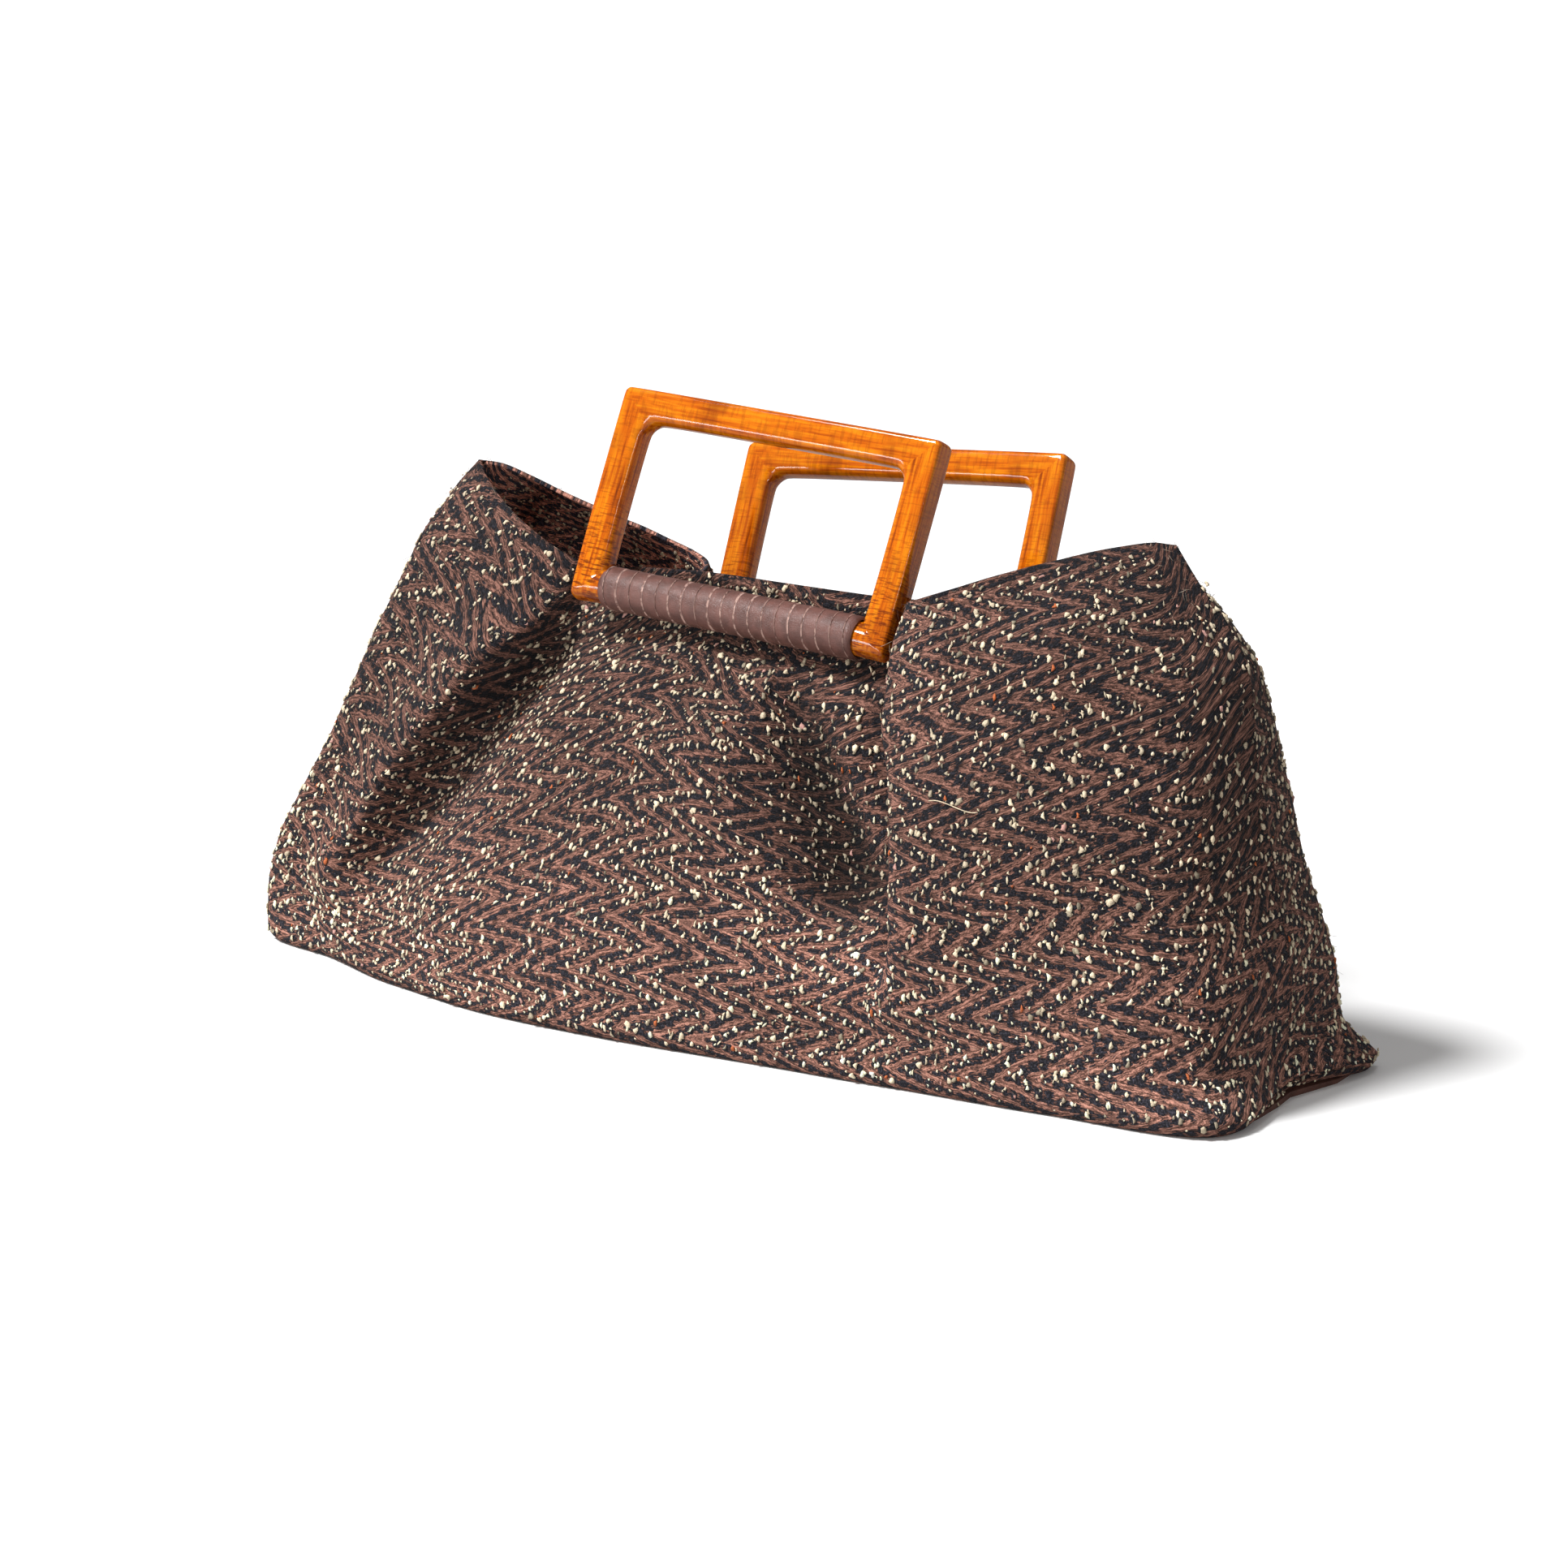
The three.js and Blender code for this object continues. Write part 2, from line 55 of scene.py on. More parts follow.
# Sizes of the bag's own form, in millimetres, and its place over the middle of its box
HALF_LENGTH = 246.0
BELLY = 104.0
PEAK = 218.5
CLOTH = 2.0
FIT = 0.3
ROLL = 4.5
END_LIFT = 3.2
BACK_FULLNESS = 0.95
BACK_TUCK = 0.09
ROWS_UNDER = 6
MIDDLE = Vector((-0.22, 2.70, 0.0))
HANDLE_WIDTH = 160.0
HANDLE_HEIGHT = 95.0
HANDLE_THICK = 12.5
BAR_RADIUS = 7.2
BAR_UP = 8.2
BARE_WOOD = 15.6
CLOTH_FALL = 35.0
HOLD = 6.0
WRAP_WALL = 1.7
WRAP_STEP = 0.45
FRONT_SEAT = {"along": -0.0374, "out": 0.4654, "up": 0.7735, "lean": 21.7, "yaw": 3.1, "tilt": -3.6}
BACK_SEAT = {"along": 0.0374, "out": -0.2779, "up": 0.6847, "lean": 26.8, "yaw": 2.3, "tilt": 3.6}
SEATS = {"front": FRONT_SEAT, "back": BACK_SEAT}

# Ends of the bag at shares of the local height: (share of HALF_LENGTH, share of BELLY)
END_COLUMNS = ("at", "seamL", "seamR", "frontL", "frontR", "backR")
ENDS = (
    (0.03, -0.99, 0.995, (-1.015, 0.6), (1.015, 0.69), (1.01, 0.61)),
    (0.1, -1.0, 0.98, (-1.015, 0.6), (0.965, 0.63), (0.955, 0.545)),
    (0.2, -1.0, 0.98, (-1.0, 0.58), (0.95, 0.6), (0.95, 0.5)),
    (0.4, -0.96, 0.945, (-0.925, 0.485), (0.905, 0.54), (0.905, 0.42)),
    (0.6, -0.905, 0.905, (-0.86, 0.39), (0.87, 0.44), (0.865, 0.355)),
    (0.78, -0.845, 0.88, (-0.805, 0.28), (0.835, 0.33), (0.83, 0.27)),
    (0.87, -0.815, 0.835, (-0.775, 0.23), (0.79, 0.22), (0.79, 0.19)),
    (0.93, -0.785, 0.785, (-0.745, 0.16), (0.75, 0.145), (0.75, 0.12)),
    (1.0, -0.724, 0.736, (-0.69, 0.08), (0.7, 0.06), (0.7, 0.06)),
)

# The end column that each line at a panel's ends follows, on the front and on the turned back
FRONT_ENDS = {"seamL": "seamL", "seamR": "seamR", "cornerL": "frontL", "cornerR": "frontR"}
BACK_ENDS = {"seamL": "seamR", "seamR": "seamL", "cornerL": "backR", "cornerR": "frontL"}

# Folds of one panel, seen facing it: the soft fold on the left, the belly, the dip and the pleat
FOLD_COLUMNS = ("at", "wingL", "foldL", "rootL", "bellyL", "belly", "shoulder", "dip", "facet",
                "rootR", "foldR", "wingR")
FOLDS = (
    (0.03, (-0.82, 0.745), (-0.66, 0.89), (-0.57, 0.94), (-0.38, 1.03), (-0.12, 1.03), (0.14, 0.965),
     (0.26, 0.935), (0.34, 0.92), (0.4, 0.905), (0.47, 0.885), (0.73, 0.825)),
    (0.1, (-0.88, 0.67), (-0.79, 0.725), (-0.71, 0.74), (-0.45, 0.96), (-0.14, 1.01), (0.17, 0.97),
     (0.285, 0.935), (0.355, 0.915), (0.405, 0.895), (0.47, 0.885), (0.73, 0.83)),
    (0.2, (-0.92, 0.61), (-0.85, 0.67), (-0.76, 0.57), (-0.52, 0.85), (-0.16, 0.99), (0.2, 0.985),
     (0.32, 0.945), (0.375, 0.93), (0.41, 0.91), (0.455, 0.92), (0.73, 0.83)),
    (0.3, (-0.89, 0.57), (-0.805, 0.64), (-0.735, 0.49), (-0.5, 0.77), (-0.15, 0.935), (0.2, 0.95),
     (0.32, 0.82), (0.38, 0.8), (0.425, 0.74), (0.452, 0.92), (0.72, 0.825)),
    (0.4, (-0.86, 0.53), (-0.76, 0.62), (-0.695, 0.41), (-0.48, 0.69), (-0.14, 0.87), (0.15, 0.9),
     (0.27, 0.52), (0.365, 0.56), (0.425, 0.5), (0.445, 0.905), (0.7, 0.82)),
    (0.6, (-0.77, 0.47), (-0.635, 0.615), (-0.585, 0.35), (-0.42, 0.55), (-0.16, 0.69), (0.05, 0.73),
     (0.165, 0.4), (0.275, 0.49), (0.38, 0.37), (0.41, 0.8), (0.67, 0.75)),
    (0.78, (-0.68, 0.41), (-0.52, 0.56), (-0.475, 0.24), (-0.33, 0.39), (-0.14, 0.48), (0, 0.5),
     (0.09, 0.37), (0.22, 0.43), (0.335, 0.34), (0.35, 0.635), (0.63, 0.65)),
    (0.87, (-0.63, 0.37), (-0.455, 0.4), (-0.42, 0.27), (-0.27, 0.33), (-0.12, 0.35), (0, 0.35),
     (0.11, 0.35), (0.22, 0.35), (0.32, 0.32), (0.35, 0.6), (0.61, 0.57)),
    (0.93, (-0.59, 0.32), (-0.43, 0.33), (-0.395, 0.24), (-0.26, 0.28), (-0.11, 0.28), (0.01, 0.28),
     (0.12, 0.28), (0.23, 0.28), (0.32, 0.28), (0.36, 0.59), (0.6, 0.45)),
    (1.0, (-0.55, 0.25), (-0.42, 0.26), (-0.385, 0.2), (-0.26, 0.25), (-0.1, 0.27), (0.02, 0.27),
     (0.12, 0.27), (0.23, 0.265), (0.32, 0.25), (0.38, 0.575), (0.58, 0.28)),
)

# Fold lines from left to right: how finely the cloth is divided up to each, and the height of
# the front's and the back's top edge over it as a share of PEAK
LINES = (
    ("seamL", 0, 1.0, 1.0), ("cornerL", 4, 0.985, 0.985), ("wingL", 3, 0.915, 0.915),
    ("foldL", 4, 0.85, 0.83), ("rootL", 3, 0.835, 0.79), ("bellyL", 3, 0.85, 0.79),
    ("belly", 3, 0.86, 0.795), ("shoulder", 3, 0.86, 0.795), ("dip", 3, 0.86, 0.8),
    ("facet", 2, 0.86, 0.79), ("rootR", 3, 0.86, 0.78), ("foldR", 4, 0.885, 0.805),
    ("wingR", 4, 0.97, 0.92), ("cornerR", 4, 1.005, 0.99), ("seamR", 4, 1.0, 1.0),
)
LINE_STEPS = sum(line[1] for line in LINES)
MIDDLE_STEP, DIP_STEP, PLEAT_STEP = 19, 26, 35


def smooth(value, low, high):
    """Smooth rise from 0 at low to 1 at high."""
    s = min(max((value - low) / (high - low), 0.0), 1.0)
    return s * s * (3 - 2 * s)


def mix(a, b, share):
    """Value at that share of the way from a to b."""
    return a + (b - a) * share


def between(rows, column, part, at):
    """Value between table rows of unequal spacing, without overshoot."""
    def pick(row):
        return row[column] if part is None else row[column][part]

    k = 0
    while k < len(rows) - 2 and at > rows[k + 1][0]:
        k += 1

    def slope(a):
        return (pick(rows[a + 1]) - pick(rows[a])) / (rows[a + 1][0] - rows[a][0])

    def tangent(a):
        if a == 0:
            return slope(0)
        if a == len(rows) - 1:
            return slope(a - 1)
        below, above = slope(a - 1), slope(a)
        return 0.0 if below * above <= 0 else 2 * below * above / (below + above)

    span = rows[k + 1][0] - rows[k][0]
    s = (at - rows[k][0]) / span
    rise = s * s * (3 - 2 * s)
    start = s * (1 - s) * (1 - s) * span * tangent(k)
    end = s * s * (s - 1) * span * tangent(k + 1)
    return pick(rows[k]) * (1 - rise) + pick(rows[k + 1]) * rise + start + end


def seat_matrix(seat):
    """Place of a handle on the bag, in millimetres, before the bag is centred."""
    turn = Matrix.Rotation(math.radians(seat["yaw"]), 4, "Z")
    turn @= Matrix.Rotation(-math.radians(seat["lean"]), 4, "X")
    turn @= Matrix.Rotation(-math.radians(seat["tilt"]), 4, "Y")
    place = (seat["along"] * HALF_LENGTH, -seat["out"] * BELLY, seat["up"] * PEAK)
    return Matrix.Translation(place) @ turn


class Panel:
    """One side of the bag as a grid of points, cut like its neighbour and turned for the back."""

    def __init__(self, name, seat, turned, finer, rows_up):
        self.name = name
        self.seat = seat
        self.turned = turned
        self.finer = finer
        self.rows_up = rows_up
        self.matrix = seat_matrix(seat)
        self.inverse = self.matrix.inverted()

    def place(self, line, at):
        """Place along and out of one fold line at a share of the height."""
        if line in FOLD_COLUMNS:
            column = FOLD_COLUMNS.index(line)
            along, out = between(FOLDS, column, 0, at), between(FOLDS, column, 1, at)
            if self.turned:
                drawn = 0.0 if line in ("wingL", "wingR", "foldR") else BACK_TUCK
                out = out * BACK_FULLNESS - drawn * math.exp(-(((at - 0.87) / 0.09) ** 2))
            return along, out
        column = END_COLUMNS.index((BACK_ENDS if self.turned else FRONT_ENDS)[line])
        sign = -1 if self.turned else 1
        if line.startswith("seam"):
            return sign * between(ENDS, column, None, at), 0.0
        return sign * between(ENDS, column, 0, at), between(ENDS, column, 1, at)

    def beside_handle(self, point):
        """Keeps the cloth clear of the handle it is sewn to: round the wound bar, behind the posts."""
        side = -1 if self.turned else 1
        local = self.inverse @ point
        reach = HANDLE_WIDTH / 2 + HOLD
        hold = 1 - smooth(abs(local.x), reach, reach + HOLD)
        if hold <= 0:
            return point
        wound = BAR_RADIUS + FIT + WRAP_WALL + WRAP_STEP + FIT * 4
        square = math.hypot(HANDLE_THICK / 2, BAR_UP) + FIT * 2
        foot = HANDLE_WIDTH / 2 - BARE_WOOD
        radius = mix(wound, square, smooth(abs(local.x), foot - HOLD, foot))
        fall = math.radians(CLOTH_FALL - side * self.seat["lean"])
        out, up = (local.y - HANDLE_THICK / 2) * side, local.z - BAR_UP
        away = math.hypot(out, up)
        if out * math.sin(fall) + up * math.cos(fall) < 0:
            ahead = out * math.cos(fall) - up * math.sin(fall)
            shift = (1 - smooth(away, 3 * radius, 5 * radius)) * max(radius - ahead, 0.0)
            out += shift * math.cos(fall)
            up -= shift * math.sin(fall)
        elif away < radius:
            out, up = out * radius / away, up * radius / away
        if up > 0:
            out = max(out, HANDLE_THICK / 2 + FIT * 2)
        moved = Vector((local.x, HANDLE_THICK / 2 + side * out, BAR_UP + up))
        return self.matrix @ local.lerp(moved, hold)

    def outer(self):
        """Outer face as rows of points from the table up to the top edge."""
        lowest = ENDS[0][0]
        rim = 3 if self.turned else 2
        rows = []
        for i in range(-ROWS_UNDER, self.rows_up + 1):
            down = (1 - max(i, 0) / self.rows_up) ** 1.15
            at = 1 - (1 - lowest) * down
            line = []
            for row in LINES:
                along, out = self.place(row[0], at)
                line.append(np.array((along * HALF_LENGTH, -out * BELLY, at * row[rim] * PEAK)))
            across = spread(line, [row[1] * self.finer for row in LINES])
            last = len(across) - 1
            points = []
            for k, p in enumerate(across):
                point = Vector(p)
                if i < 0:
                    self.roll_under(point, -i / ROWS_UNDER, at * PEAK)
                points.append(self.settle(point, k in (0, last)))
            rows.append(points)
        return rows

    def roll_under(self, point, share, height):
        """Turns the lowest rows in under the bag, bowed off the table across the ends."""
        turn = share * math.pi / 2
        inset = ROLL * (1 - math.cos(turn))
        point.x -= math.copysign(inset, point.x) * smooth(abs(point.x), HALF_LENGTH / 2, HALF_LENGTH)
        point.y += inset * smooth(-point.y, 0, BELLY / 4)
        near = smooth(abs(point.x), HALF_LENGTH * 0.93, HALF_LENGTH * 0.96)
        across = min(abs(point.y) / (BELLY * 0.5), 1.0)
        point.z = height * (1 - math.sin(turn)) + END_LIFT * near * (1 - across * across)

    def settle(self, point, on_seam):
        """Turns a point to the panel's own side and keeps it off the handle and the other side."""
        if self.turned:
            point.x, point.y = -point.x, -point.y
        if on_seam:
            point.y = FIT / 2 if self.turned else -FIT / 2
            return point
        return self.beside_handle(point)


def spread(line, steps):
    """Points on a smooth centripetal curve through the fold points, a given number up to each."""
    points = [2 * line[0] - line[1], *line, 2 * line[-1] - line[-2]]
    made = [line[0]]
    for k in range(1, len(line)):
        p0, p1, p2, p3 = points[k - 1:k + 3]
        d0, d1, d2 = (max(float(np.dot(b - a, b - a)) ** 0.25, 1e-4)
                      for a, b in ((p0, p1), (p1, p2), (p2, p3)))
        t1 = ((p1 - p0) / d0 - (p2 - p0) / (d0 + d1) + (p2 - p1) / d1) * d1
        t2 = ((p2 - p1) / d1 - (p3 - p1) / (d1 + d2) + (p3 - p2) / d2) * d1
        c2, c3 = -3 * p1 + 3 * p2 - 2 * t1 - t2, 2 * p1 - 2 * p2 + t1 + t2
        for s in range(1, steps[k] + 1):
            w = s / steps[k]
            made.append(p1 + t1 * w + c2 * w * w + c3 * w * w * w)
    return made


def grid_normals(grid):
    """Unit normals of a grid of points, out of the bag."""
    normal = np.cross(np.gradient(grid, axis=1), np.gradient(grid, axis=0))
    return normal / (np.linalg.norm(normal, axis=2, keepdims=True) + 1e-9)


def relax(values, turns):
    """Evens out small kinks in a grid of values, its border kept."""
    for _ in range(turns):
        middle = values[1:-1, 1:-1]
        ring = (values[:-2, 1:-1] + values[2:, 1:-1] + values[1:-1, :-2] + values[1:-1, 2:]) / 4
        values[1:-1, 1:-1] = middle * 0.5 + ring * 0.5
    return values


def cloth_coordinates(grid):
    """Distance along the cloth in millimetres, across from the middle column and up from the base."""
    step_u = np.linalg.norm(np.diff(grid, axis=1), axis=2)
    step_u = 0.6 * step_u + 0.4 * step_u.mean(axis=0)
    step_v = np.linalg.norm(np.diff(grid, axis=0), axis=2)
    u = np.zeros(grid.shape[:2])
    v = np.zeros(grid.shape[:2])
    u[:, 1:] = np.cumsum(step_u, axis=1)
    v[1:, :] = np.cumsum(step_v, axis=0)
    middle, dip, pleat = (grid.shape[1] * k // LINE_STEPS for k in (MIDDLE_STEP, DIP_STEP, PLEAT_STEP))
    u -= u[:, middle:middle + 1]
    u, v = relax(u, 30), relax(v, 60)
    beyond = np.maximum(u - u[:, pleat:pleat + 1], 0.0)
    short = np.maximum(u[:, dip:dip + 1] - u, 0.0)
    pull = (0.19 * beyond ** 2 / (beyond + 25.0) + 0.0007 * beyond ** 2) * np.interp(v, (10, 90), (0.45, 1.0))
    v = v - pull + 0.00044 * short ** 2
    for i in range(u.shape[0]):
        for j in range(u.shape[1]):
            place = Vector((u[i, j], v[i, j], SEED * 10.0)) * 0.05
            u[i, j] += 3.0 * noise.noise(place)
            v[i, j] += 2.0 * noise.noise(place + Vector((9.0, 3.0, 0.0)))
    return u, v


def linear(red, green, blue):
    """Scene colour of an sRGB colour from 0 to 255."""
    def one(value):
        c = value / 255
        return c / 12.92 if c <= 0.04045 else ((c + 0.055) / 1.055) ** 2.4

    return one(red), one(green), one(blue), 1.0


def dressed(name, mesh, material):
    """An object for a mesh in metres that rides on the bag and takes its finish from a slot."""
    mesh.materials.append(material)
    piece = bpy.data.objects.new(name, mesh)
    bpy.context.scene.collection.objects.link(piece)
    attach(piece, "root")
    return piece


def new_piece(name, points, faces, material):
    """A smooth piece from points in metres and faces."""
    mesh = bpy.data.meshes.new(name)
    mesh.from_pydata([tuple(p) for p in points], [], faces)
    mesh.validate()
    mesh.polygons.foreach_set("use_smooth", [True] * len(mesh.polygons))
    return dressed(name, mesh, material)


def only(piece):
    """Makes one piece the active and only selected object."""
    bpy.ops.object.select_all(action="DESELECT")
    piece.select_set(True)
    bpy.context.view_layer.objects.active = piece


class Graph:
    """Adds shader nodes to a tree and links them in the order that they are used."""

    def __init__(self, tree):
        self.tree = tree
        self.count = 0

    def node(self, kind, **settings):
        node = self.tree.nodes.new(kind)
        node.location = (180 * (self.count % 14) - 1400, -220 * (self.count // 14))
        self.count += 1
        for key, value in settings.items():
            setattr(node, key, value)
        return node

    def feed(self, socket, value):
        if isinstance(value, bpy.types.NodeSocket):
            self.tree.links.new(value, socket)
        elif value is not None:
            socket.default_value = value

    def made(self, kind, values, output=0, **settings):
        """One output of a new node with these values or links on its inputs."""
        node = self.node(kind, **settings)
        for key, value in values.items():
            self.feed(node.inputs[key], value)
        return node.outputs[output]

    def math(self, operation, a, b=None, c=None):
        return self.made("ShaderNodeMath", {0: a, 1: b, 2: c}, operation=operation)

    def add(self, a, b):
        return self.math("ADD", a, b)

    def sub(self, a, b):
        return self.math("SUBTRACT", a, b)

    def mul(self, a, b):
        return self.math("MULTIPLY", a, b)

    def power(self, a, b):
        return self.math("POWER", a, b)

    def vector(self, x, y, z=0.0):
        return self.made("ShaderNodeCombineXYZ", {0: x, 1: y, 2: z})

    def split(self, vector):
        node = self.node("ShaderNodeSeparateXYZ")
        self.feed(node.inputs[0], vector)
        return tuple(node.outputs)

    def stretch(self, vector, scale):
        return self.made("ShaderNodeMapping", {"Vector": vector, "Scale": scale}, vector_type="POINT")

    def noise(self, vector, scale, detail=2.0, roughness=0.5):
        return self.made("ShaderNodeTexNoise", {"Vector": vector, "Scale": scale, "Detail": detail,
                                                "Roughness": roughness}, "Fac")

    def place(self):
        return self.node("ShaderNodeTexCoord").outputs["Object"]

    def range(self, value, low, high, to_low=0.0, to_high=1.0):
        return self.made("ShaderNodeMapRange", {"Value": value, "From Min": low, "From Max": high,
                                                "To Min": to_low, "To Max": to_high},
                         "Result", interpolation_type="SMOOTHSTEP")

    def blend(self, factor, a, b, how="MIX"):
        return self.made("ShaderNodeMix", {0: factor, 6: a, 7: b}, 2, data_type="RGBA", blend_type=how)

    def toned(self, colour, tone):
        return self.blend(1.0, colour, self.vector(tone, tone, tone), "MULTIPLY")

    def choose(self, share, a, b):
        return self.made("ShaderNodeMix", {0: share, 2: a, 3: b}, data_type="FLOAT")

    def ramp(self, value, stops):
        node = self.node("ShaderNodeValToRGB")
        self.feed(node.inputs[0], value)
        ramp = node.color_ramp
        while len(ramp.elements) < len(stops):
            ramp.elements.new(0.5)
        for element, (place, colour) in zip(ramp.elements, stops):
            element.position = place
            element.color = colour
        return node.outputs[0]

    def bump(self, height, distance, strength=1.0):
        return self.made("ShaderNodeBump", {"Strength": strength, "Distance": distance, "Height": height})


def new_material(name, **values):
    """A material with one Principled shader whose plain values are set on its own sockets."""
    material = bpy.data.materials.new(name)
    material.use_nodes = True
    graph = Graph(material.node_tree)
    shader = material.node_tree.nodes["Principled BSDF"]
    for key, value in values.items():
        shader.inputs[key.replace("_", " ").title().replace("Ior", "IOR")].default_value = value
    return material, graph, shader


def new_group(name, inputs, outputs):
    """An empty shader node group with named sockets; gives its graph, inputs and output node."""
    tree = bpy.data.node_groups.new(name, "ShaderNodeTree")
    for label, kind in inputs:
        tree.interface.new_socket(name=label, in_out="INPUT", socket_type=kind)
    for label, kind in outputs:
        tree.interface.new_socket(name=label, in_out="OUTPUT", socket_type=kind)
    graph = Graph(tree)
    start = graph.node("NodeGroupInput")
    end = graph.node("NodeGroupOutput")
    return tree, graph, start, end


# Weave: warp yarns up the bag and flat brown weft bundles across it, in a 2/2 herringbone
WARP = 4.3
WEFT = 1.75
ROWS_A_STRIPE = 7
BAND = 4
# Painted light on the inner face of the cloth: its colour made five times lighter
INNER_PAINTED_LIGHT = 5.0


def weave_group():
    """Herringbone of brown bundles over black looped yarn, from cloth coordinates in millimetres, with painted
    shade between the bundles and painted highlights on raised strands and loops.
    """
    tree, g, start, end = new_group(
        "herringbone_weave",
        [("Cloth", "NodeSocketVector"), ("Brown", "NodeSocketColor"), ("Black", "NodeSocketColor")],
        [("Color", "NodeSocketColor"), ("Height", "NodeSocketFloat")],
    )
    cloth = start.outputs["Cloth"]
    u, v, _ = g.split(cloth)
    tufted = g.sub(g.noise(g.stretch(cloth, (1.0, 1.2, 1.0)), 0.42, 3.0, 0.6), 0.5)
    across = g.math("DIVIDE", g.math("MULTIPLY_ADD", tufted, 6.5, u), WARP)
    up = g.math("DIVIDE", v, WEFT)
    zigzag = g.math("PINGPONG", up, float(ROWS_A_STRIPE))
    askew = g.mul(g.math("MULTIPLY_ADD", across, 0.7, zigzag), WEFT)
    strands = g.vector(g.mul(u, 0.16), askew, 0.0)
    ragged = g.sub(g.noise(strands, 0.7, 3.0, 0.65), 0.5)
    column = g.add(g.math("FLOOR", across), 0.5)
    fu = g.sub(g.math("FRACT", across), 0.5)
    phase = g.math("FLOORED_MODULO", g.add(g.add(column, zigzag), 1.0), float(BAND))
    phase = g.sub(phase, BAND / 2)
    bead = g.add(g.power(g.mul(fu, 1.85), 2.0),
                  g.power(g.mul(phase, 0.95), 2.0))
    bead = g.math("MULTIPLY_ADD", ragged, 4.4, g.math("SQRT", bead))
    weft_over = g.range(bead, 0.96, 1.14)
    hump_weft = g.power(g.range(bead, 0.97, 1.6), 0.6)
    bundle = g.math("FRACT", g.math("MULTIPLY_ADD", across, 0.7, zigzag))
    round_weft = g.power(g.math("SINE", g.mul(bundle, math.pi)), 0.5)
    hump_warp = g.math("SQRT", g.range(bead, 1.0, 0.1))
    strand = g.noise(strands, 1.6, 3.0, 0.7)
    curl = g.noise(cloth, 1.15, 3.0, 0.6)
    weft_height = g.mul(g.mul(hump_weft, round_weft), 0.5)
    weft_height = g.add(weft_height, g.mul(strand, 0.55))
    warp_height = g.mul(hump_warp, 0.4)
    warp_height = g.add(warp_height, g.mul(curl, 0.65))
    edge = g.add(g.mul(weft_height, weft_over),
                  g.mul(warp_height, g.sub(1.0, weft_over)))
    # Brown tone: partly the strands' own colour, partly painted highlight on the raised strands, as it follows
    # their height
    strand_tone_and_highlight = g.range(strand, 0.39, 0.61, 0.3, 1.65)
    # Painted shade: each bundle darker towards its edges and ends, between one bundle and the next
    bundle_painted_shade = g.range(g.mul(hump_weft, round_weft), 0.1, 0.9, 0.4, 1.0)
    pits = g.range(g.noise(cloth, 1.2, 3.0, 0.7), 0.36, 0.5, 0.5, 1.1)
    tone = g.mul(g.mul(strand_tone_and_highlight, bundle_painted_shade), pits)
    brown = g.toned(start.outputs["Brown"], tone)
    # Black tone: partly the loops' own colour, partly painted highlight on the raised loops, as it follows their
    # height
    curl_tone_and_highlight = g.range(curl, 0.42, 0.8, 0.35, 2.6)
    black = g.toned(start.outputs["Black"], curl_tone_and_highlight)
    fleck = g.range(g.noise(cloth, 0.9, 3.0, 0.7), 0.66, 0.78)
    black = g.blend(g.mul(fleck, 0.35), black, linear(150, 138, 128))
    g.feed(end.inputs["Color"], g.blend(weft_over, black, brown))
    g.feed(end.inputs["Height"], edge)
    return tree


def tweed_material(settings, weave):
    """Brown and black herringbone tweed, its colour times a random tone and the painted light and shade of its
    shade attribute.
    """
    material, g, shader = new_material("herringbone_tweed", roughness=0.92, sheen_weight=0.03,
                                       sheen_roughness=0.6, specular_ior_level=0.15)
    uv = g.node("ShaderNodeUVMap", uv_map="cloth")
    node = g.node("ShaderNodeGroup", node_tree=weave)
    g.feed(node.inputs["Cloth"], uv.outputs[0])
    node.inputs["Brown"].default_value = (*settings.brown, 1.0)
    node.inputs["Black"].default_value = (*settings.black, 1.0)
    patch = g.range(g.noise(uv.outputs[0], 0.02, 2.0), 0.3, 0.7, 0.88, 1.1)
    # Painted shade in the folds and painted light towards the base, from the cloth's shade attribute
    patch = g.mul(patch, g.node("ShaderNodeAttribute", attribute_name="shade").outputs["Fac"])
    g.feed(shader.inputs["Base Color"], g.toned(node.outputs["Color"], patch))
    g.feed(shader.inputs["Normal"], g.bump(node.outputs["Height"], 0.0011, 1.0))
    return material


def slub_material():
    """Matt cream loops of bare wool whose tone is painted on each."""
    material, g, shader = new_material("cream_slub", roughness=0.85, specular_ior_level=0.3)
    tone = g.node("ShaderNodeVertexColor", layer_name="tone")
    hair = g.noise(g.place(), 1800.0, 2.0)
    shade = g.range(hair, 0.3, 0.7, 0.72, 1.08)
    g.feed(shader.inputs["Base Color"], g.toned(tone.outputs["Color"], shade))
    g.feed(shader.inputs["Normal"], g.bump(hair, 0.0003, 0.8))
    return material


def yarn_material(name, colour):
    """Matt twisted wool of one colour."""
    material, g, shader = new_material(name, roughness=0.85, specular_ior_level=0.3)
    shade = g.range(g.noise(g.place(), 900.0, 2.0), 0.3, 0.7, 0.6, 0.95)
    g.feed(shader.inputs["Base Color"], g.toned((*colour, 1.0), shade))
    return material


def fibre_material():
    """Stray fibres, from near black to pale."""
    material, g, shader = new_material("dark_fibre", roughness=0.9, specular_ior_level=0.2)
    g.feed(shader.inputs["Base Color"], g.ramp(g.noise(g.place(), 60.0, 2.0), [
        (0.42, linear(60, 50, 48)), (0.55, linear(120, 84, 70)), (0.66, linear(205, 190, 170))]))
    return material


